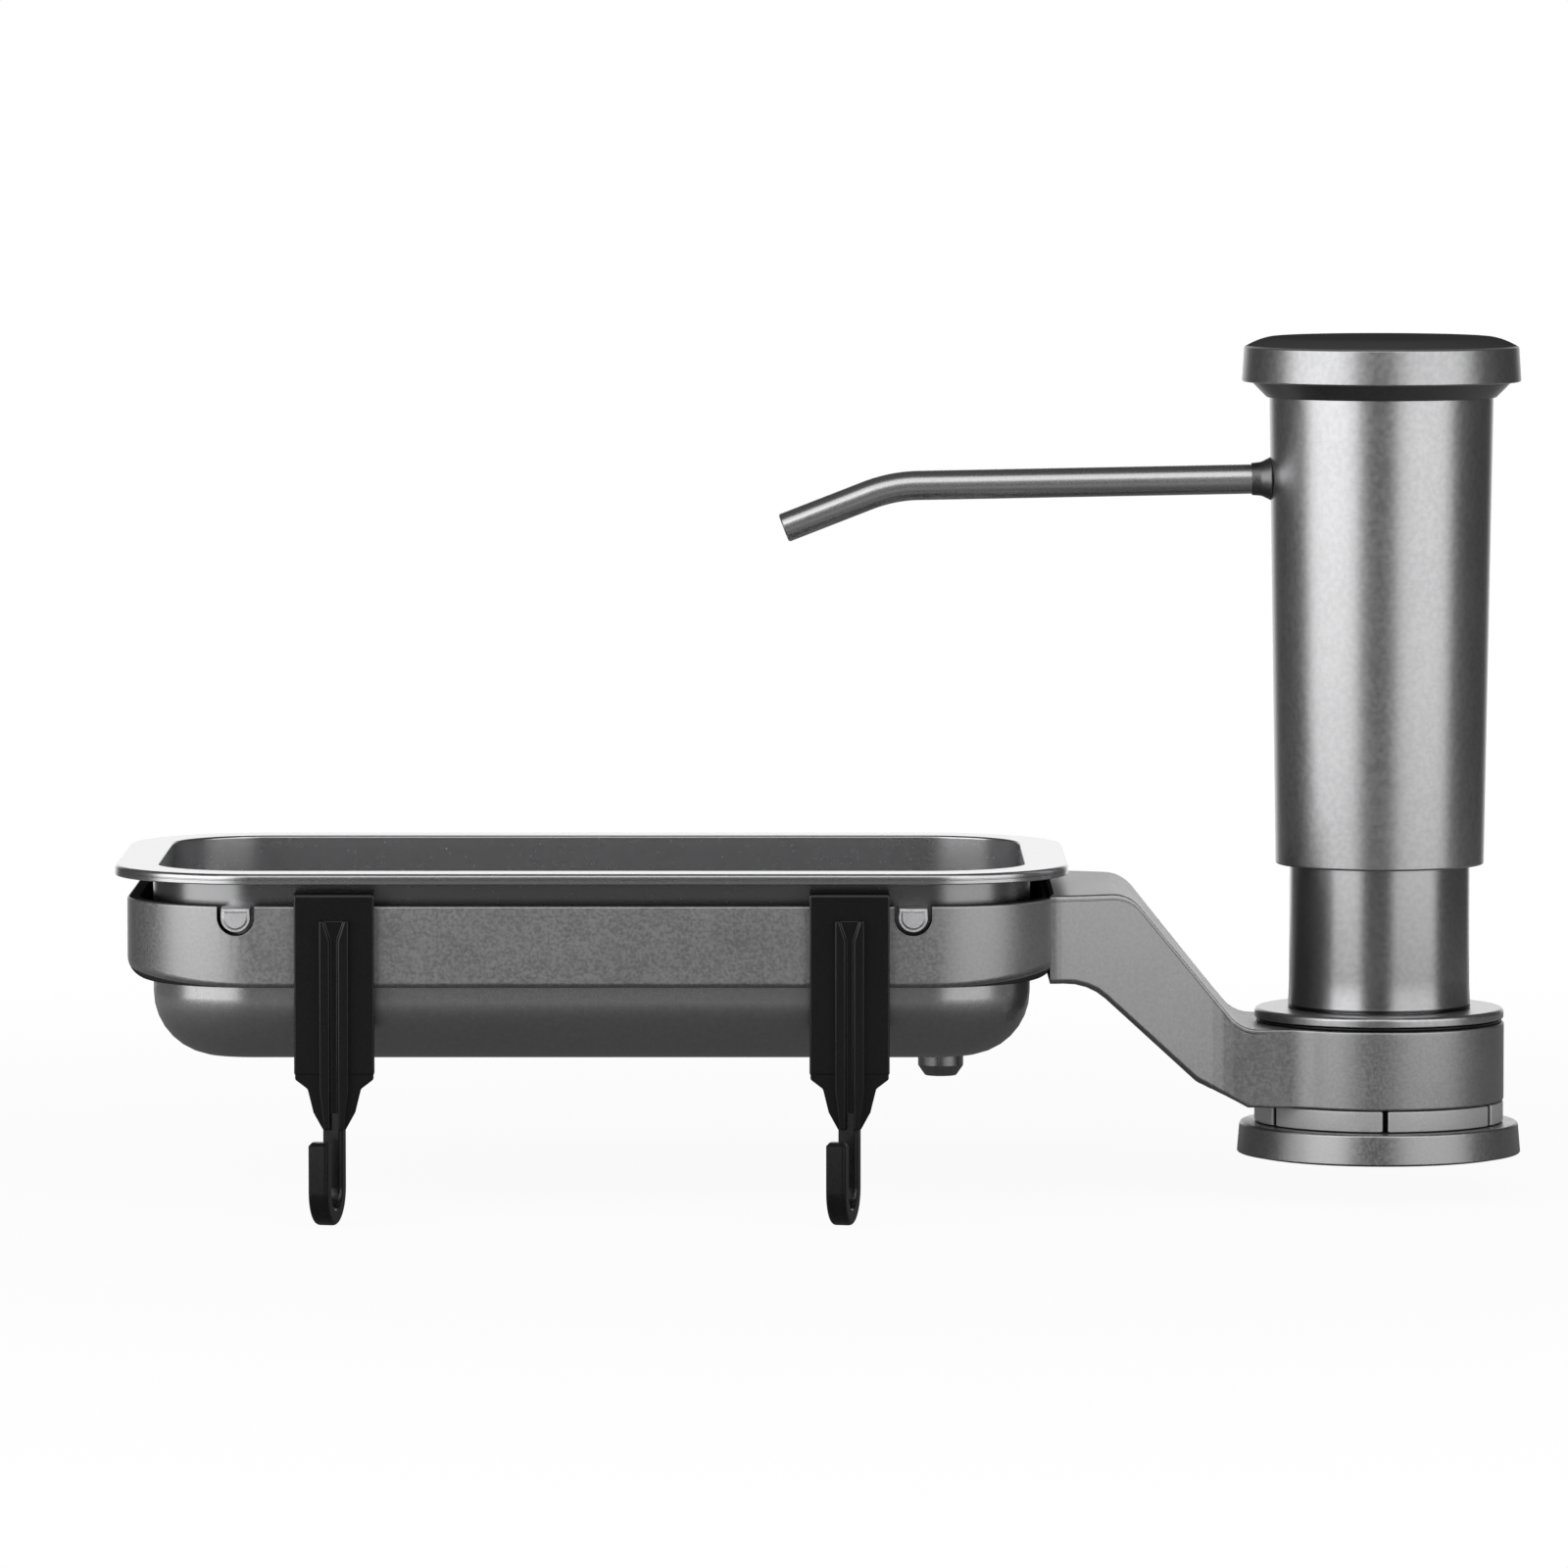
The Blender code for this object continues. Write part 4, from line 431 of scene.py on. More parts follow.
def pad_outline(inset):
    """Outline of all the pads from above, with rounded ends, drawn in by an inset, and its angles."""
    reach = PAD_RADIUS - inset
    root = PAD_RADIUS - SLOT_DEPTH
    half_slot = asin((SLOT_WIDTH / 2 + inset) / reach)
    root_half = asin(SLOT_WIDTH / 2 / root)
    curl = PAD_ROUND / reach
    outline = []
    pad_turn = 2 * pi / PADS
    for pad in range(PADS):
        slot = -pi / 2 + pad_turn * pad
        first = slot + half_slot
        last = slot + pad_turn - half_slot
        for step in range(PAD_END_STEPS + 1):
            turn = pi / 2 * step / PAD_END_STEPS
            outline.append((reach - PAD_ROUND * (1 - sin(turn)), first + curl * (1 - cos(turn))))
        for step in range(1, PAD_STEPS):
            outline.append((reach, first + curl + (last - first - 2 * curl) * step / PAD_STEPS))
        for step in range(PAD_END_STEPS + 1):
            turn = pi / 2 * step / PAD_END_STEPS
            outline.append((reach - PAD_ROUND * (1 - cos(turn)), last - curl * (1 - sin(turn))))
        outline.append((root, slot + pad_turn - root_half))
        outline.append((root, slot + pad_turn + root_half))
    return [(r * cos(a), r * sin(a)) for r, a in outline], [a for _, a in outline]


pad_edge = [(PAD_EDGE, 0.0), (PAD_EDGE_MIDDLE, PAD_EDGE_MIDDLE), (0.0, PAD_EDGE)]
pad_rows = [(inset, PAD_BOTTOM + rise) for inset, rise in pad_edge]
pad_rows += [(inset, PAD_TOP - rise) for inset, rise in reversed(pad_edge)]
pad_loops = [[(x, y, z) for x, y in pad_outline(inset)[0]] for inset, z in pad_rows]
for z in (PAD_TOP, PAD_BOTTOM):
    pad_loops.append([(SHANK_HOLE * cos(a), SHANK_HOLE * sin(a), z) for a in pad_outline(0.0)[1]])
make_piece("pad_ring", lofted(pad_loops, True), pale_grey, "root", "pale_ring", "detent_ring")


# Rack casting. Collar, S-shaped arm and rack ring are one zinc casting, sprayed with a satin grey
# metallic paint. The arm's edges are softened, and U notches in the ring hold the tray's pegs.

COLLAR_RADIUS = 28.675 * MM
COLLAR_BOTTOM = 12.6 * MM
COLLAR_TOP = 30.5 * MM
COLLAR_BORE = 16.2 * MM
CORE_X = 76.25 * MM
CORE_Y = 28.0 * MM
RACK_X = -180.475 * MM
CORNER_STEPS = 20
RING_INNER = 26.2 * MM
RING_OUTER = 29.2 * MM
RING_LEDGE = 23.9 * MM
LEDGE_HEIGHT = 3.0 * MM
RING_TOP = 61.8 * MM
RING_BOTTOM = 43.3 * MM
RING_FACE_Y = 57.2 * MM
RING_END_X = -75.025 * MM
RING_ROUND = 0.3 * MM
RING_EDGE_ROUND = 0.55 * MM
RING_PAINTED_SHADE = (RING_OUTER - 0.6 * MM, RING_OUTER - 0.35 * MM)
SIDE_FOOT_ROUND = 1.2 * MM
END_FOOT_ROUND = 5.0 * MM
ARM_ROOT_X = -90.0 * MM
ARM_OVERLAP = 1.5 * MM
ARM_TOP = 62.3 * MM
ARM_END_BOTTOM = 42.2 * MM
ARM_HALF_WIDTH = 36.0 * MM
BACK_SHOULDER = 16.7 * MM
BACK_FOOT = 3.9 * MM
BACK_ROUND = 8.0 * MM
BELLY_SHOULDER = 7.65 * MM
BELLY_ROUND = 14.0 * MM
KNEE_REACH = 13.7 * MM
KNEE_RISE = 6.1 * MM
KNEE_ROUND = 5.0 * MM
HEEL_REACH = 2.3 * MM
PLAN_SHOULDER = 0.5 * MM
PLAN_SHOULDER_ROUND = 10.0 * MM
WAIST_X = -37.975 * MM
WAIST_HALF_WIDTH = 21.975 * MM
WAIST_ROUND = 20.0 * MM
WAIST_FILLET = 14.0 * MM
FILLET_STEPS = 8
ARM_STEPS = 60
ARM_FOOT_ROUND = 1.3 * MM
ARM_EDGE_ROUND = 0.6 * MM
ARM_EDGE_STEPS = 5
COLLAR_ROUND = 0.45 * MM
COLLAR_EDGE_START = -40.0 * MM
COLLAR_EDGE_SPAN = 15.0 * MM
FINE_LINE_DEPTH = 0.16 * MM
FINE_LINE_DROPS = (1.4 * MM, 1.28 * MM, 1.12 * MM, 1.0 * MM)
BORE_PAST = 5.0 * MM
PEG_WIDTH = 7.0 * MM
PEG_TOP = 61.3 * MM
PEG_HEIGHT = 5.5 * MM
PEG_STEPS = 24
NOTCH_GAP = 0.75 * MM
NOTCH_INNER_Y = 51.3 * MM
NOTCH_OUTER_Y = 62.2 * MM
NOTCH_CUT_TOP = 70.0 * MM
peg_places = {"left": -259.975 * MM, "right": -107.775 * MM}

cast_grey = Finish("cast_grey_paint", {"Specular IOR Level": 0.0})
cast_grain = grained(cast_grey, roughness=0.42, size=0.7 * MM, height=0.005 * MM)


def round_core(finish):
    """How far a spot lies from the rack's core rectangle, seen from above."""
    spot = finish.add("ShaderNodeSeparateXYZ", {}, {"Vector": finish.place})
    past_x = ((spot - RACK_X).math("ABSOLUTE") - CORE_X).math("MAXIMUM", 0.0)
    past_y = (spot.beside("Y").math("ABSOLUTE") - CORE_Y).math("MAXIMUM", 0.0)
    return (past_x * past_x + past_y * past_y).math("SQRT")


cast_tone = cast_grey.blend(cast_grain, grey(0.325), grey(0.395))
# Painted shade: within the ring's outer edge, its top, inner wall and ledge are painted near black and not
# metallic, as shade under the tray's rim.
clear_of_painted_shade = cast_grey.ramp(round_core(cast_grey), *RING_PAINTED_SHADE)
cast_grey.feed("Base Color", cast_grey.blend(clear_of_painted_shade, grey(0.03), cast_tone))
cast_grey.feed("Metallic", clear_of_painted_shade)
white_plastic = Finish("natural_white_plastic", {})
speckled(white_plastic, tone=0.72, spread=0.03, roughness=0.5)


def rack_loop(radius, z):
    """A closed loop of points at one distance round the rack's core rectangle."""
    loop = []
    for quarter, (side_x, side_y) in enumerate(((1, 1), (-1, 1), (-1, -1), (1, -1))):
        for step in range(CORNER_STEPS + 1):
            angle = (quarter + step / CORNER_STEPS) * pi / 2
            x = RACK_X + side_x * CORE_X + radius * cos(angle)
            loop.append((x, side_y * CORE_Y + radius * sin(angle), z))
    return loop


def prism(outline, start, end, place):
    """Extrude a flat outline from start to end. place(a, b, level) gives each point."""
    return lofted([[place(a, b, level) for a, b in outline] for level in (start, end)], False)


def along_y(a, b, level):
    """A point of a front view, at a level in depth."""
    return (a, level, b)


def along_x(a, b, level):
    """A point of a side view, at a level from left to right."""
    return (level, a, b)


def joined(body, other, operation):
    """Combine two closed bodies by a Boolean, and give the result as a new body."""
    pair = []
    for part in (body, other):
        bmesh.ops.recalc_face_normals(part, faces=part.faces)
        mesh = bpy.data.meshes.new("work")
        part.to_mesh(mesh)
        part.free()
        pair.append(bpy.data.objects.new("work", mesh))
        bpy.context.collection.objects.link(pair[-1])
    step = pair[0].modifiers.new("join", "BOOLEAN")
    step.object = pair[1]
    step.operation = operation
    step.solver = "EXACT"
    bpy.context.view_layer.update()
    graph = bpy.context.evaluated_depsgraph_get()
    result = bmesh.new()
    result.from_mesh(pair[0].evaluated_get(graph).to_mesh())
    for thing in pair:
        bpy.data.objects.remove(thing)
    return result


def peg_outline(x, grown, flat_top):
    """Front view of a peg: flat on top, round below. grown widens it all round for its notch."""
    half = PEG_WIDTH / 2
    centre_z = PEG_TOP - PEG_HEIGHT + half
    outline = [(x + half + grown, flat_top), (x - half - grown, flat_top)]
    for step in range(PEG_STEPS + 1):
        angle = pi + pi * step / PEG_STEPS
        outline.append((x + (half + grown) * cos(angle), centre_z + (half + grown) * sin(angle)))
    return outline


def ring_section(foot_round):
    """Section of the ring as (distance from the core rectangle, height)."""
    return rounded([
        (RING_INNER, RING_BOTTOM + LEDGE_HEIGHT, 0),
        (RING_INNER, RING_TOP, RING_ROUND),
        (RING_OUTER, RING_TOP, RING_EDGE_ROUND),
        (RING_OUTER, RING_BOTTOM, foot_round),
        (RING_LEDGE, RING_BOTTOM, RING_ROUND),
        (RING_LEDGE, RING_BOTTOM + LEDGE_HEIGHT, 0),
    ])


ring_loops = []
for (side_r, side_z), (end_r, end_z) in zip(ring_section(SIDE_FOOT_ROUND), ring_section(END_FOOT_ROUND)):
    loop = []
    for (x, y, _), (end_x, end_y, _) in zip(rack_loop(side_r, 0.0), rack_loop(end_r, 0.0)):
        share = min(1.0, max(0.0, (abs(x - RACK_X) - CORE_X) / RING_OUTER)) ** 2
        loop.append((x + (end_x - x) * share, y + (end_y - y) * share, side_z + (end_z - side_z) * share))
    ring_loops.append(loop)
rack = lofted(ring_loops, True)
for x in peg_places.values():
    outline = peg_outline(x, NOTCH_GAP, NOTCH_CUT_TOP)
    for sign in (-1, 1):
        notch = prism(outline, sign * NOTCH_INNER_Y, sign * NOTCH_OUTER_Y, along_y)
        rack = joined(rack, notch, "DIFFERENCE")

arm_back = rounded([
    (ARM_ROOT_X, ARM_TOP, 0),
    (RING_END_X + BACK_SHOULDER, ARM_TOP, BACK_ROUND),
    (-(COLLAR_RADIUS + BACK_FOOT), COLLAR_TOP, BACK_ROUND),
    (0.0, COLLAR_TOP, 0),
])
arm_belly = rounded([
    (ARM_ROOT_X, ARM_END_BOTTOM, 0),
    (RING_END_X + BELLY_SHOULDER, ARM_END_BOTTOM, BELLY_ROUND),
    (-(COLLAR_RADIUS + KNEE_REACH), COLLAR_BOTTOM + KNEE_RISE, KNEE_ROUND),
    (-(COLLAR_RADIUS + HEEL_REACH), COLLAR_BOTTOM, 0),
    (0.0, COLLAR_BOTTOM, 0),
])
fillet_y = WAIST_HALF_WIDTH + WAIST_FILLET
fillet_x = -sqrt((COLLAR_RADIUS + WAIST_FILLET) ** 2 - fillet_y ** 2)
arm_plan = rounded([
    (ARM_ROOT_X, ARM_HALF_WIDTH, 0),
    (RING_END_X + PLAN_SHOULDER, ARM_HALF_WIDTH, PLAN_SHOULDER_ROUND),
    (WAIST_X, WAIST_HALF_WIDTH, WAIST_ROUND),
    (fillet_x, WAIST_HALF_WIDTH, 0),
])


def level_of(line, x):
    """Height, or half width, of a line of points at x."""
    return float(np.interp(x, [a for a, _ in line], [b for _, b in line]))


def side_rows(x):
    """(inset, height) pairs up the side at x: a round foot, a fine line, and a round top edge."""
    low = level_of(arm_belly, x)
    top = level_of(arm_back, x)
    near_collar = min(1.0, max(0.0, (x - COLLAR_EDGE_START) / COLLAR_EDGE_SPAN))
    foot = ARM_FOOT_ROUND + (COLLAR_ROUND - ARM_FOOT_ROUND) * near_collar
    edge = ARM_EDGE_ROUND + (COLLAR_ROUND - ARM_EDGE_ROUND) * near_collar
    line = FINE_LINE_DEPTH * (1.0 - near_collar)
    turns = [pi / 2 * step / ARM_EDGE_STEPS for step in range(ARM_EDGE_STEPS + 1)]
    rows = [(foot * (1 - sin(turn)), low + foot * (1 - cos(turn))) for turn in turns]
    for inset, drop in zip((0.0, line, line, 0.0), FINE_LINE_DROPS):
        rows.append((inset, top - drop))
    return rows + [(edge * (1 - sin(turn)), top - edge * (1 - cos(turn))) for turn in reversed(turns)]


first_x = RING_END_X - ARM_OVERLAP
bends = [x for line in (arm_back, arm_belly, arm_plan) for x, _ in line if first_x < x < fillet_x]
evenly = [first_x + (fillet_x - first_x) * step / ARM_STEPS for step in range(ARM_STEPS + 1)]
stations = {round(x, 6) for x in bends + evenly}
arm_side = [(x, level_of(arm_plan, x)) for x in sorted(stations)]
towards_axis = atan2(-fillet_y, -fillet_x)
for step in range(1, FILLET_STEPS + 1):
    angle = -pi / 2 + (towards_axis + pi / 2) * step / FILLET_STEPS
    arm_side.append((fillet_x + WAIST_FILLET * cos(angle), fillet_y + WAIST_FILLET * sin(angle)))
touch = atan2(fillet_y, fillet_x)
last_angle = pi / ROUND_STEPS
for step in range(1, ARM_STEPS + 1):
    angle = touch + (last_angle - touch) * step / ARM_STEPS
    arm_side.append((COLLAR_RADIUS * cos(angle), COLLAR_RADIUS * sin(angle)))
arm_loops = []
for index, (x, y) in enumerate(arm_side):
    before_it = Vector(arm_side[max(index - 1, 0)])
    after_it = Vector(arm_side[min(index + 1, len(arm_side) - 1)])
    along = (after_it - before_it).normalized()
    near_side = [(x + along.y * inset, along.x * inset - y, z) for inset, z in side_rows(x)]
    arm_loops.append(near_side + [(a, -b, z) for a, b, z in reversed(near_side)])
bore = turned([(COLLAR_BORE, COLLAR_BOTTOM - BORE_PAST), (COLLAR_BORE, COLLAR_TOP + BORE_PAST)], False)
rack = joined(rack, joined(lofted(arm_loops, False), bore, "DIFFERENCE"), "UNION")
make_piece("rack_casting", rack, cast_grey, "rack", "cast_grey", "rack_bracket")
dress("collar_bush", white_plastic)


# Washer, flange and neck. A thin black washer, a bevelled metal disc and the drawn neck tube with
# its small flared foot, which all stand still while the collar turns under them.

WASHER_RADIUS = 28.175 * MM
WASHER_BOTTOM = 30.75 * MM
WASHER_TOP = 31.25 * MM
WASHER_ROUND = 0.15 * MM
FLANGE_RADIUS = 28.575 * MM
FLANGE_BOTTOM = 31.5 * MM
FLANGE_TOP = 33.75 * MM
FLANGE_FOOT_ROUND = 0.2 * MM
FLANGE_BEVEL = 0.9 * MM
SPIGOT_RADIUS = 19.175 * MM
SPIGOT_TOP = 41.3 * MM
NECK_RADIUS = 20.675 * MM
NECK_BORE = 19.475 * MM
NECK_FOOT_RADIUS = 20.975 * MM
NECK_BOTTOM = 34.0 * MM
NECK_TOP = 108.05 * MM
NECK_FOOT_ROUND = 0.15 * MM
NECK_TOP_ROUND = 0.3 * MM
FLARE_TOP = 39.0 * MM
FLARE_ROUND = 80.0 * MM
FOOT_PAINTED_SHADE = (34.8 * MM, 34.5 * MM)

black_plastic = Finish("black_plastic", {"Specular IOR Level": 0.3})
speckled(black_plastic, tone=0.006, spread=0.2, roughness=0.3)
washer_profile = rounded([
    (SHANK_HOLE, WASHER_TOP, 0),
    (WASHER_RADIUS, WASHER_TOP, WASHER_ROUND),
    (WASHER_RADIUS, WASHER_BOTTOM, WASHER_ROUND),
    (SHANK_HOLE, WASHER_BOTTOM, 0),
])
make_piece("thin_washer", turned(washer_profile), black_plastic, "root", "black_plastic", "upper_washer")
flange_profile = rounded([
    (FLANGE_RADIUS, FLANGE_BOTTOM, FLANGE_FOOT_ROUND),
    (FLANGE_RADIUS, FLANGE_TOP, FLANGE_BEVEL),
    (SPIGOT_RADIUS, FLANGE_TOP, 0),
    (SPIGOT_RADIUS, SPIGOT_TOP, 0),
    (SHANK_HOLE, SPIGOT_TOP, 0),
    (SHANK_HOLE, FLANGE_BOTTOM, 0),
])
make_piece("flange_disc", turned(flange_profile), gun_grey, "root", "gun_grey", "neck_flange")

neck_grey = Finish("neck_grey_satin", {"Metallic": 1.0})
neck_grain = grained(neck_grey, roughness=0.26, size=1.2 * MM, height=0.0004 * MM, unevenness=0.05)
neck_height = neck_grey.add("ShaderNodeSeparateXYZ", {}, {"Vector": neck_grey.place}, "Z")
# Painted shade: a thin band at the neck's foot, where it meets the flange, is painted near black.
painted_foot_shade = neck_grey.ramp(neck_height, *FOOT_PAINTED_SHADE)
neck_tone = neck_grey.blend(neck_grain, grey(0.33), grey(0.37))
neck_grey.feed("Base Color", neck_grey.blend(painted_foot_shade, neck_tone, grey(0.04)))
neck_profile = rounded([
    (NECK_FOOT_RADIUS, NECK_BOTTOM, NECK_FOOT_ROUND),
    (NECK_RADIUS, FLARE_TOP, FLARE_ROUND),
    (NECK_RADIUS, NECK_TOP, NECK_TOP_ROUND),
    (NECK_BORE, NECK_TOP, 0),
    (NECK_BORE, NECK_BOTTOM, 0),
])
make_piece("neck_shell", turned(neck_profile), neck_grey, "root", "gun_grey", "neck_tube")


# Pump. Moulded white plastic closure, cylinder, valve and stem, with steel balls and spring and
# rubber seals. They work inside the neck and the barrel. In the real pump the spring shortens with
# the stroke; here its coil is drawn at one length.

WIRE_RADIUS = 0.6 * MM
WIRE_SIDES = 10
WIRE_STEPS = 24
SPRING_TURNS = 6.5

for node in ("pump_closure", "pump_cylinder", "inlet_valve", "suction_tube", "piston_stem", "head_core"):
    dress(node, white_plastic)
for node in ("inlet_ball", "outlet_ball"):
    dress(node, steel)
for node in ("closure_seal", "piston_seal"):
    dress(node, rubber)


def ring_round(centre, up, side, radius, sides):
    """A circle of points round a centre."""
    return [centre + side * (radius * cos(2 * pi * n / sides)) + up * (radius * sin(2 * pi * n / sides))
            for n in range(sides)]


spring_low, spring_high = (Vector(corner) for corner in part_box("return_spring"))
coil_radius = spring_high.x - WIRE_RADIUS
coil_rise = spring_high.z - spring_low.z - 2 * WIRE_RADIUS
upright = Vector((0.0, 0.0, 1.0))
wire_loops = []
for step in range(int(SPRING_TURNS * WIRE_STEPS) + 1):
    angle = 2 * pi * step / WIRE_STEPS
    outward = Vector((cos(angle), sin(angle), 0.0))
    level = spring_low.z + WIRE_RADIUS + coil_rise * step / (SPRING_TURNS * WIRE_STEPS)
    centre = outward * coil_radius + upright * level
    wire_loops.append(ring_round(centre, upright, outward, WIRE_RADIUS, WIRE_SIDES))
spring = make_piece("coil_spring", lofted(wire_loops, False), steel, "root", "plain_steel", "return_spring")
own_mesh(spring)


# Barrel. A long drawn sleeve that widens a little to its top, blasted to a fine satin grain.
# A black plastic bush in its lower end keeps it true on the neck.

BARREL_BOTTOM = 66.85 * MM
BARREL_TOP = 176.05 * MM
BARREL_BOTTOM_RADIUS = 23.875 * MM
BARREL_TOP_RADIUS = 25.675 * MM
BARREL_WALL = 1.5 * MM
BARREL_FOOT_ROUND = 0.5 * MM
BARREL_TOP_ROUND = 0.2 * MM

barrel_profile = rounded([
    (BARREL_BOTTOM_RADIUS, BARREL_BOTTOM, BARREL_FOOT_ROUND),
    (BARREL_TOP_RADIUS, BARREL_TOP, BARREL_TOP_ROUND),
    (BARREL_TOP_RADIUS - BARREL_WALL, BARREL_TOP, 0),
    (BARREL_BOTTOM_RADIUS - BARREL_WALL, BARREL_BOTTOM, 0),
])
make_piece("barrel_sleeve", turned(barrel_profile), gun_grey, "head", "gun_grey", "barrel")
dress("barrel_bush", black_plastic)


# Press cap. A wide spun cap: chamfered top painted near black as a painted reflection, upright
# satin band, and a dark plastic insert under it, its tone partly painted shade, that slopes in to
# the barrel and grips its upper edge.

CAP_RADIUS = 31.975 * MM
CAP_BAND_RADIUS = 31.475 * MM
CAP_BOTTOM = 177.5 * MM
CAP_BAND_TOP = 185.4 * MM
CAP_TOP = 187.75 * MM
CAP_CHAMFER = 6.5 * MM
CHAMFER_STEPS = 12
CHAMFER_POWER = 1.6
CAP_ROUND = 0.4 * MM
CAP_WALL = 1.5 * MM
CAP_PAINTED_REFLECTION = (CAP_BAND_TOP - 0.1 * MM, CAP_BAND_TOP + 0.5 * MM)
INSERT_TOP = 181.85 * MM
INSERT_TOP_RADIUS = 29.675 * MM
INSERT_EDGE_Z = 177.85 * MM
INSERT_EDGE_RADIUS = 30.175 * MM
INSERT_BOTTOM = 173.95 * MM
INSERT_BOTTOM_RADIUS = 26.325 * MM
INSERT_ROUND = 0.3 * MM
GRIP_RADIUS = 25.975 * MM
GRIP_TOP = 176.3 * MM
PLUG_TOP = 177.8 * MM
PLUG_TOP_RADIUS = 23.875 * MM
PLUG_BOTTOM = 168.85 * MM
PLUG_BOTTOM_RADIUS = 23.775 * MM
PLUG_BORE = 21.775 * MM

cap_grey = Finish("cap_grey_satin", {"Specular IOR Level": 0.0})
cap_grain = grained(cap_grey, roughness=0.36, size=1.3 * MM, height=0.002 * MM, unevenness=0.04)
cap_height = cap_grey.add("ShaderNodeSeparateXYZ", {}, {"Vector": cap_grey.place}, "Z")
# Painted reflection: above the band the chamfered top is painted near black and not metallic, standing for
# the dark surround it reflects.
painted_dark_top = cap_grey.ramp(cap_height, *CAP_PAINTED_REFLECTION)
cap_light = cap_grey.blend(cap_grain, grey(0.343), grey(0.407))
cap_grey.feed("Base Color", cap_grey.blend(painted_dark_top, cap_light, grey(0.055)))
cap_grey.feed("Metallic", 1.0 - painted_dark_top)
# A dark grey metal. On the cap's insert its low tone is partly painted shade under the cap; the spout's
# cone wears it as its own dark colour.
dark_grey_and_painted_shade = Finish("cap_under_grey_and_painted_shade", {"Metallic": 1.0})
speckled(dark_grey_and_painted_shade, tone=0.16, spread=0.1, roughness=0.4)
plateau = CAP_BAND_RADIUS - CAP_CHAMFER
cap_profile = [(plateau / 2, CAP_TOP)]
for step in range(CHAMFER_STEPS + 1):
    share = step / CHAMFER_STEPS
    drop = (CAP_TOP - CAP_BAND_TOP) * share ** CHAMFER_POWER
    cap_profile.append((plateau + CAP_CHAMFER * share, CAP_TOP - drop))
cap_profile[-1:] = rounded([
    (*cap_profile[-2], 0),
    (CAP_BAND_RADIUS, CAP_BAND_TOP, CAP_ROUND),
    (CAP_RADIUS, CAP_BOTTOM, 0),
])[1:-1]
cap_profile += rounded([
    (CAP_BAND_RADIUS, CAP_BAND_TOP, 0),
    (CAP_RADIUS, CAP_BOTTOM, CAP_ROUND),
    (CAP_RADIUS - CAP_WALL, CAP_BOTTOM, 0),
])[1:]
cap_profile += [
    (CAP_BAND_RADIUS - CAP_WALL, CAP_BAND_TOP - CAP_WALL),
    (plateau - CAP_WALL, CAP_TOP - CAP_WALL),
]
make_piece("cap_shell", turned(cap_profile, False), cap_grey, "head", "gun_grey", "press_cap")
insert_profile = rounded([
    (INSERT_TOP_RADIUS, INSERT_TOP, 0),
    (INSERT_EDGE_RADIUS, INSERT_EDGE_Z, INSERT_ROUND),
    (INSERT_BOTTOM_RADIUS, INSERT_BOTTOM, INSERT_ROUND),
    (GRIP_RADIUS, INSERT_BOTTOM, 0),
    (GRIP_RADIUS, GRIP_TOP, 0),
    (PLUG_TOP_RADIUS, GRIP_TOP, 0),
    (PLUG_BOTTOM_RADIUS, PLUG_BOTTOM, 0),
    (PLUG_BORE, PLUG_BOTTOM, 0),
    (PLUG_BORE, PLUG_TOP, 0),
])
insert = turned(insert_profile, False)
make_piece("cap_underside", insert, dark_grey_and_painted_shade, "head", "black_plastic", "cap_insert")


# Spout. A thin satin tube that leaves the barrel nearly level and bends down near its end, cut
# square and bored through. A short dark plastic cone closes the hole in the barrel.

SPOUT_RADIUS = 3.4 * MM
SPOUT_BORE = 2.2 * MM
SPOUT_SIDES = 40
SPOUT_Z = 155.7 * MM
SPOUT_SLOPE = radians(1.1)
SPOUT_ROOT = 15.0 * MM
SPOUT_REACH = 112.0 * MM
BEND_RADIUS = 34.0 * MM
BEND_STEPS = 16
TIP_SLOPE = radians(21.3)
TIP_LENGTH = 26.69 * MM
TIP_BEVEL = 0.3 * MM
CONE_FOOT_X = 25.1 * MM
CONE_LENGTH = 4.6 * MM
CONE_FOOT_RADIUS = 5.1 * MM
CONE_FOOT_ROUND = 0.2 * MM
CONE_WAIST = 2.4 * MM
CONE_WAIST_RADIUS = 3.9 * MM
CONE_WAIST_ROUND = 2.3 * MM
CONE_END_RADIUS = 3.7 * MM
CONE_END_ROUND = 0.1 * MM
CONE_BORE = 3.5 * MM

spout_grey = Finish("spout_grey_satin", {"Metallic": 1.0})
speckled(spout_grey, tone=0.56, spread=0.04, roughness=0.28, height=0.0006 * MM, unevenness=0.03)


def tube_up(slope):
    """The direction that points up out of the tube, where the tube falls at a slope."""
    return Vector((-sin(slope), 0.0, cos(slope)))


def tube_loop(centre, slope, radius):
    """A circle of points square to the tube."""
    return ring_round(centre, tube_up(slope), Vector((0.0, 1.0, 0.0)), radius, SPOUT_SIDES)


out = Vector((-cos(SPOUT_SLOPE), 0.0, -sin(SPOUT_SLOPE)))
down = Vector((-cos(TIP_SLOPE), 0.0, -sin(TIP_SLOPE)))
spout_foot = Vector((0.0, 0.0, SPOUT_Z))
bend = spout_foot + out * (SPOUT_REACH / cos(SPOUT_SLOPE))
bend_angle = TIP_SLOPE - SPOUT_SLOPE
bend_start = bend - out * (BEND_RADIUS * tan(bend_angle / 2))
bend_centre = bend_start - tube_up(SPOUT_SLOPE) * BEND_RADIUS
spout_path = [(spout_foot + out * SPOUT_ROOT, SPOUT_SLOPE)]
for step in range(BEND_STEPS + 1):
    slope = SPOUT_SLOPE + bend_angle * step / BEND_STEPS
    spout_path.append((bend_centre + tube_up(slope) * BEND_RADIUS, slope))
tip = bend + down * TIP_LENGTH
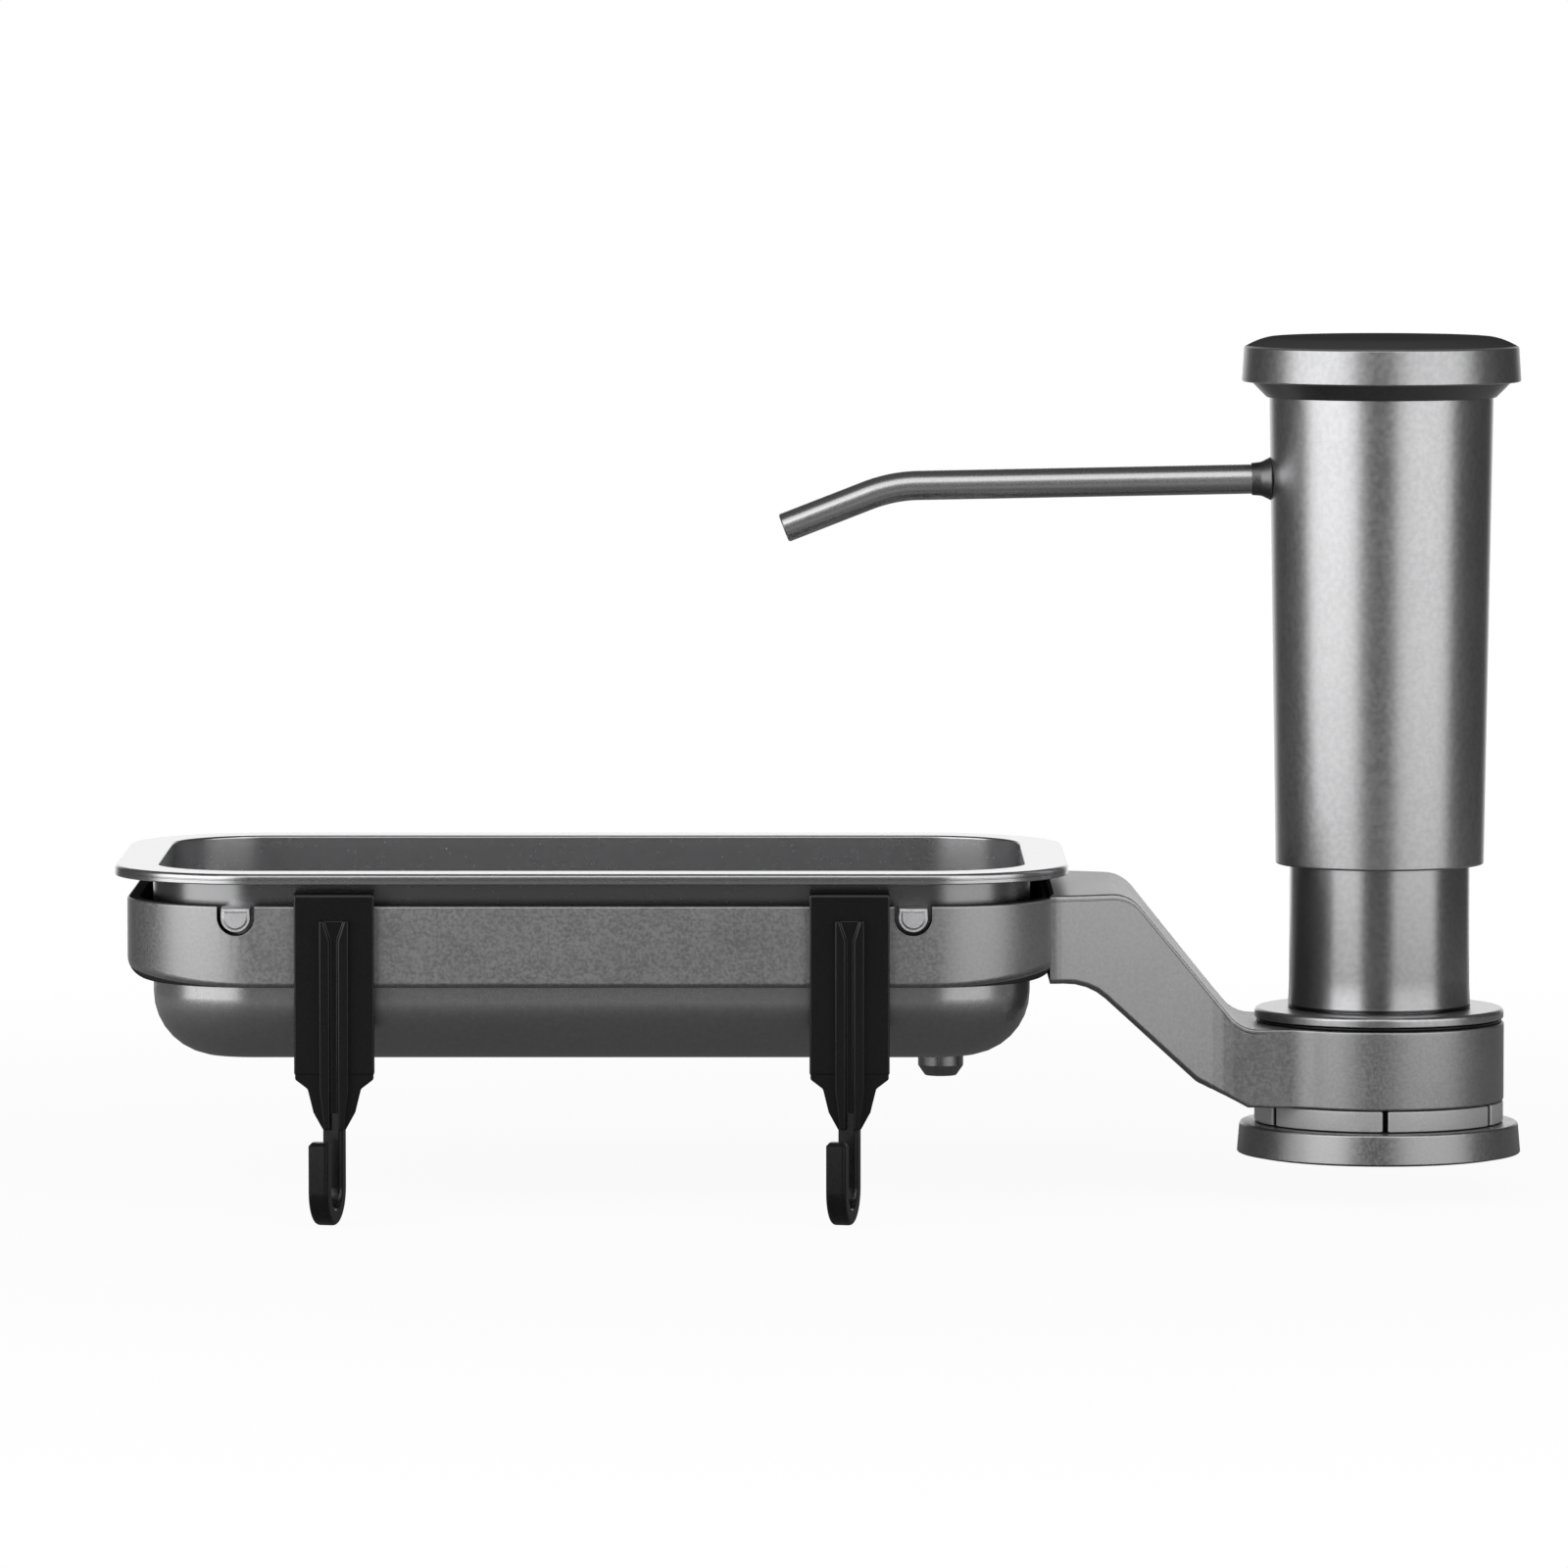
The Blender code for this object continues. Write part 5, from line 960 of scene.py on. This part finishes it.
spout_path.append((tip - down * TIP_BEVEL, TIP_SLOPE))
spout_loops = [tube_loop(point, slope, SPOUT_RADIUS) for point, slope in spout_path]
spout_loops.append(tube_loop(tip, TIP_SLOPE, SPOUT_RADIUS - TIP_BEVEL))
for point, slope in [(tip, TIP_SLOPE)] + spout_path[-2::-1]:
    spout_loops.append(tube_loop(point, slope, SPOUT_BORE))
make_piece("spout_tube", lofted(spout_loops, True), spout_grey, "head", "gun_grey", "spout")
cone_profile = rounded([
    (CONE_FOOT_RADIUS, 0.0, CONE_FOOT_ROUND),
    (CONE_WAIST_RADIUS, CONE_WAIST, CONE_WAIST_ROUND),
    (CONE_END_RADIUS, CONE_LENGTH, CONE_END_ROUND),
    (CONE_BORE, CONE_LENGTH, 0),
    (CONE_BORE, 0.0, 0),
])
cone = turned(cone_profile, steps=SMALL_ROUND_STEPS)
cone_turn = out.to_track_quat("Z", "Y").to_matrix().to_4x4()
cone_place = Matrix.Translation(spout_foot + out * CONE_FOOT_X) @ cone_turn
bmesh.ops.transform(cone, matrix=cone_place, verts=cone.verts)
make_piece("spout_cone", cone, dark_grey_and_painted_shade, "head", "black_plastic", "spout_collar")


# Tray. One deep-drawn steel tray: bright flat rim, folded lip with a fine rolled line, upright
# wall and a bowl with wide round edges. It hangs in the ring and lifts straight out.

TRAY_RADIUS = 23.3 * MM
TRAY_WALL = 1.2 * MM
TRAY_TOP = 69.2 * MM
TRAY_BOTTOM = 25.7 * MM
TRAY_EDGE = 14.5 * MM
UNDER_RIM_ROUND = 0.8 * MM
MOUTH_ROUND = 0.6 * MM
RIM_RADIUS = 31.99 * MM
RIM_ROUND = 0.9 * MM
LIP_BOTTOM = 66.8 * MM
LIP_ROUND = 0.25 * MM
LIP_FOLD_ROUND = 0.3 * MM
ROLLED_LINE = ((0.0, 67.7 * MM), (0.2 * MM, 67.8 * MM), (0.2 * MM, 67.95 * MM), (0.0, 68.05 * MM))
RIM_SHADE = (LIP_BOTTOM - 0.2 * MM, LIP_BOTTOM)
SKIN_SHADE = (TRAY_EDGE - 0.8 * MM, TRAY_EDGE - 0.4 * MM)
WALL_PAINTED_SHADE = (60.0 * MM, 48.0 * MM)
NOZZLE_X = -100.775 * MM
NOZZLE_RADIUS = 5.2 * MM
NOZZLE_GAP = 0.3 * MM
HOLE_BOTTOM = 20.0 * MM
HOLE_TOP = 32.0 * MM

tray_grey = Finish("tray_grey_satin", {"Metallic": 1.0})
tray_grain = grained(tray_grey, roughness=0.27, size=1.2 * MM, height=0.0004 * MM, unevenness=0.015)
tray_height = tray_grey.add("ShaderNodeSeparateXYZ", {}, {"Vector": tray_grey.place}, "Z")
rim_share = tray_grey.ramp(tray_height, *RIM_SHADE)
past_edge = (round_core(tray_grey) - (TRAY_RADIUS - TRAY_EDGE)).math("MAXIMUM", 0.0)
below_edge = (TRAY_BOTTOM + TRAY_EDGE - tray_height).math("MAXIMUM", 0.0)
skin = (past_edge * past_edge + below_edge * below_edge).math("SQRT")
outer_skin = tray_grey.ramp(skin, *SKIN_SHADE)
inner_tone = tray_grey.blend(tray_grain, grey(0.44), grey(0.46))
# Painted shade: outside, the wall's band under the rim is painted darker than the bowl below it.
below_painted_wall_shade = tray_grey.ramp(tray_height, *WALL_PAINTED_SHADE)
bowl_tone = tray_grey.blend(tray_grain, grey(0.48), grey(0.52))
outer_tone = tray_grey.blend(below_painted_wall_shade, grey(0.26), bowl_tone)
tray_tone = tray_grey.blend(outer_skin, inner_tone, outer_tone)
rim_tone = tray_grey.blend(tray_grain, grey(0.46), grey(0.48))
tray_grey.feed("Base Color", tray_grey.blend(rim_share, tray_tone, rim_tone))

tray_section = rounded([
    (0.0, TRAY_BOTTOM, 0),
    (TRAY_RADIUS, TRAY_BOTTOM, TRAY_EDGE),
    (TRAY_RADIUS, TRAY_TOP - TRAY_WALL, UNDER_RIM_ROUND),
    (RIM_RADIUS - TRAY_WALL, TRAY_TOP - TRAY_WALL, LIP_FOLD_ROUND),
    (RIM_RADIUS - TRAY_WALL, LIP_BOTTOM, 0),
    (RIM_RADIUS, LIP_BOTTOM, LIP_ROUND),
    *[(RIM_RADIUS - depth, z, 0) for depth, z in ROLLED_LINE],
    (RIM_RADIUS, TRAY_TOP, RIM_ROUND),
    (TRAY_RADIUS - TRAY_WALL, TRAY_TOP, MOUTH_ROUND),
    (TRAY_RADIUS - TRAY_WALL, TRAY_BOTTOM + TRAY_WALL, TRAY_EDGE - TRAY_WALL),
    (0.0, TRAY_BOTTOM + TRAY_WALL, 0),
])[1:-1]
tray = lofted([rack_loop(radius, z) for radius, z in tray_section], False)
hole_profile = [(NOZZLE_RADIUS + NOZZLE_GAP, z) for z in (HOLE_BOTTOM, HOLE_TOP)]
hole = turned(hole_profile, False, SMALL_ROUND_STEPS)
bmesh.ops.translate(hole, verts=hole.verts, vec=(NOZZLE_X, 0.0, 0.0))
tray = joined(tray, hole, "DIFFERENCE")
make_piece("sponge_tray", tray, tray_grey, "tray", "tray_grey", "tray")


# Pegs. Four small D-shaped pegs riveted to the tray's wall. Each drops into its notch in the ring
# and stands a little proud of it. Its face is dished, so that the lower rim catches the light.

PEG_PROUD = 0.8 * MM
PEG_SMALLER = 0.25 * MM
PEG_SHORTER = 0.6 * MM
PEG_ROUND = 0.25 * MM
DISH_BORDER = 0.45 * MM
DISH_DEPTH = 0.5 * MM
BEVEL_SEGMENTS = 3
FLAT_WITHIN = 1e-7

peg_grey = Finish("peg_grey_satin", {"Metallic": 1.0})
speckled(peg_grey, tone=0.85, spread=0.05, roughness=0.42)


def lying_in(face_y, things):
    """The edges or faces whose corners all lie in the upright plane at y = face_y."""
    return [thing for thing in things if all(abs(vert.co.y - face_y) < FLAT_WITHIN for vert in thing.verts)]


for side_name, sign in (("front", -1), ("back", 1)):
    for hand, x in peg_places.items():
        node = "tray_peg_%s_%s" % (side_name, hand)
        low_corner, high_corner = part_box(node)
        inner = min(abs(low_corner[1]), abs(high_corner[1]))
        face = sign * (RING_FACE_Y + PEG_PROUD)
        peg = prism(peg_outline(x, -PEG_SMALLER, PEG_TOP), sign * (inner + PEG_SHORTER), face, along_y)
        rim = lying_in(face, peg.edges)
        bmesh.ops.bevel(peg, geom=rim, offset=PEG_ROUND, segments=BEVEL_SEGMENTS, profile=0.5,
                        affect="EDGES")
        front = lying_in(face, peg.faces)
        bmesh.ops.inset_region(peg, faces=front, thickness=DISH_BORDER, depth=0)
        bmesh.ops.inset_region(peg, faces=front, thickness=DISH_BORDER, depth=-DISH_DEPTH)
        make_piece("peg_%s_%s" % (side_name, hand), peg, peg_grey, "tray", "cast_grey", node)


# Drain. A push-in nozzle: its flat head sits on a rubber ring on the tray's floor, and its tapered
# tip hangs below the tray.

HEAD_RADIUS = 7.0 * MM
HEAD_BOTTOM = 28.2 * MM
HEAD_TOP = 29.2 * MM
HEAD_UNDER_ROUND = 0.1 * MM
HEAD_EDGE_ROUND = 0.4 * MM
NOZZLE_BORE = 2.2 * MM
NOZZLE_BORE_ROUND = 0.3 * MM
NOZZLE_END = 18.0 * MM
NOZZLE_END_RADIUS = 3.6 * MM
NOZZLE_END_ROUND = 0.3 * MM
NOZZLE_TAPER_TOP = 20.3 * MM
NOZZLE_TAPER_ROUND = 0.8 * MM

nozzle_profile = rounded([
    (HEAD_RADIUS, HEAD_BOTTOM, HEAD_UNDER_ROUND),
    (HEAD_RADIUS, HEAD_TOP, HEAD_EDGE_ROUND),
    (NOZZLE_BORE, HEAD_TOP, NOZZLE_BORE_ROUND),
    (NOZZLE_BORE, NOZZLE_END, 0),
    (NOZZLE_END_RADIUS, NOZZLE_END, NOZZLE_END_ROUND),
    (NOZZLE_RADIUS, NOZZLE_TAPER_TOP, NOZZLE_TAPER_ROUND),
    (NOZZLE_RADIUS, HEAD_BOTTOM, 0),
])
nozzle = turned(nozzle_profile, steps=SMALL_ROUND_STEPS)
bmesh.ops.translate(nozzle, verts=nozzle.verts, vec=(NOZZLE_X, 0.0, 0.0))
make_piece("drain_tip", nozzle, base_grey, "tray", "tray_grey", "drain_nozzle")
dress("drain_gasket", rubber)


# Hooks. Two black plastic mouldings that clip over the ring's edge: a flat strap that narrows in
# steps below its shoulder, a grooved rib down its front, and a J turned a little to the left.

HOOK_WIDTH = 18.0 * MM
HOOK_TOP = 65.0 * MM
HOOK_BACK_ROUND = 0.8 * MM
HOOK_FRONT_ROUND = 1.3 * MM
STRAP_BACK = -57.5 * MM
STRAP_FRONT = -60.1 * MM
STRAP_ROUND = 0.4 * MM
CLIP_TOP = 62.1 * MM
CLIP_BOTTOM = 49.8 * MM
CLIP_FRONT = -53.9 * MM
CLIP_BACK = -52.3 * MM
SHOULDER_Z = 24.0 * MM
PLATE_STEP = 0.2 * MM
PLATE_ROUND = 0.35 * MM
PLATE_TOP = SHOULDER_Z + 5.0 * MM
PLATE_SHOULDER = SHOULDER_Z - 1.07 * MM
PLATE_HALF = 6.0 * MM
PLATE_NARROW_HALF = 4.7 * MM
PLATE_END = SHOULDER_Z - 12.5 * MM
TAPER_TOP = SHOULDER_Z - 3.2 * MM
BAR_TOP = SHOULDER_Z - 8.5 * MM
RIB_FRONT = -61.9 * MM
RIB_SUNK = 1.3 * MM
RIB_HALF = 3.3 * MM
RIB_TOP = 58.8 * MM
RIB_END = SHOULDER_Z - 12.3 * MM
RIB_ROUND = 0.35 * MM
GROOVE_HALF = 0.9 * MM
GROOVE_MOUTH_HALF = 2.2 * MM
GROOVE_TOP = 61.1 * MM
GROOVE_MOUTH_END = 58.3 * MM
GROOVE_FUNNEL_END = 54.3 * MM
GROOVE_END = SHOULDER_Z - 20.0 * MM
GROOVE_DEPTH = 1.4 * MM
GROOVE_PAST = 2.6 * MM
BAR_HALF = 2.3 * MM
BAR_HALF_DEPTH = 2.0 * MM
BAR_ROUND = 0.9 * MM
BAR_BEHIND = 1.11 * MM
JAY_RADIUS = 6.0 * MM
JAY_CENTRE_Z = -1.3 * MM
JAY_STEPS = 24
JAY_TIP_Z = 10.0 * MM
JAY_TURN = radians(13.5)
TIP_TAPER = 0.8 * MM
TIP_WIDTH_SHARE = 0.7
TIP_DEPTH_SHARE = 0.65
hook_places = {"left": -237.775 * MM, "right": -122.075 * MM}

hook_black = Finish("hook_black_plastic", {"Specular IOR Level": 0.42})
speckled(hook_black, tone=0.005, spread=0.15, roughness=0.24)


def softened(body, width):
    """Round every sharp edge of a body."""
    bmesh.ops.recalc_face_normals(body, faces=body.faces)
    edges = [edge for edge in body.edges if edge.calc_face_angle(0.0) > SHARP_ANGLE]
    bmesh.ops.bevel(body, geom=edges, offset=width, segments=BEVEL_SEGMENTS, profile=0.5,
                    affect="EDGES", clamp_overlap=True)
    return body


def mirrored_outline(x, side):
    """An outline that is the same left and right of x, from its right side's points."""
    return [(x - a, b) for a, b in side] + [(x + a, b) for a, b in reversed(side)]


half = HOOK_WIDTH / 2
forward = Vector((-sin(JAY_TURN), -cos(JAY_TURN), 0.0))
sideways = Vector((cos(JAY_TURN), -sin(JAY_TURN), 0.0))
bar_corners = ((1, 1), (-1, 1), (-1, -1), (1, -1))
bar_section = rounded([(a * BAR_HALF, b * BAR_HALF_DEPTH, BAR_ROUND) for a, b in bar_corners])
strap_side = rounded([
    (STRAP_FRONT, SHOULDER_Z, 0),
    (STRAP_BACK, SHOULDER_Z, 0),
    (STRAP_BACK, CLIP_TOP, 0),
    (CLIP_FRONT, CLIP_TOP, 0),
    (CLIP_FRONT, CLIP_BOTTOM, 0),
    (CLIP_BACK, CLIP_BOTTOM, 0),
    (CLIP_BACK, HOOK_TOP, HOOK_BACK_ROUND),
    (STRAP_FRONT, HOOK_TOP, HOOK_FRONT_ROUND),
])
for hand, x in hook_places.items():
    hook = softened(prism(strap_side, x - half, x + half, along_x), STRAP_ROUND)
    plate_outline = mirrored_outline(x, [
        (half - PLATE_STEP, PLATE_TOP),
        (half - PLATE_STEP, PLATE_SHOULDER),
        (PLATE_HALF, TAPER_TOP),
        (PLATE_NARROW_HALF, BAR_TOP),
        (BAR_HALF + PLATE_STEP, PLATE_END),
    ])
    plate = prism(plate_outline, STRAP_BACK - PLATE_STEP, STRAP_FRONT + PLATE_STEP, along_y)
    hook = joined(hook, softened(plate, PLATE_ROUND), "UNION")
    rib_outline = mirrored_outline(x, [
        (RIB_HALF, RIB_TOP),
        (RIB_HALF, TAPER_TOP),
        (BAR_HALF, RIB_END),
    ])
    rib = prism(rib_outline, STRAP_BACK - RIB_SUNK, RIB_FRONT, along_y)
    groove_outline = mirrored_outline(x, [
        (GROOVE_MOUTH_HALF, GROOVE_TOP),
        (GROOVE_MOUTH_HALF, GROOVE_MOUTH_END),
        (GROOVE_HALF, GROOVE_FUNNEL_END),
        (GROOVE_HALF, GROOVE_END),
    ])
    groove = prism(groove_outline, RIB_FRONT + GROOVE_DEPTH, RIB_FRONT - GROOVE_PAST, along_y)
    rib = softened(joined(rib, groove, "DIFFERENCE"), RIB_ROUND)
    hook = joined(hook, rib, "UNION")

    bar = Vector((x, STRAP_FRONT + BAR_BEHIND, 0.0))
    path = [(bar + upright * BAR_TOP, forward)]
    for step in range(JAY_STEPS + 1):
        angle = pi * step / JAY_STEPS
        facing = forward * cos(angle) + upright * sin(angle)
        path.append((bar + forward * JAY_RADIUS + upright * JAY_CENTRE_Z - facing * JAY_RADIUS, facing))
    tip_point = bar + forward * (2 * JAY_RADIUS) + upright * JAY_TIP_Z
    path.append((tip_point - upright * TIP_TAPER, -forward))
    bar_loops = [[point + sideways * a + facing * b for a, b in bar_section] for point, facing in path]
    bar_loops.append([tip_point + sideways * (a * TIP_WIDTH_SHARE) - forward * (b * TIP_DEPTH_SHARE)
                      for a, b in bar_section])
    hook = joined(hook, lofted(bar_loops, False), "UNION")

    make_piece("strap_hook_" + hand, hook, hook_black, hand + "_hook", "black_plastic", "hook_" + hand)
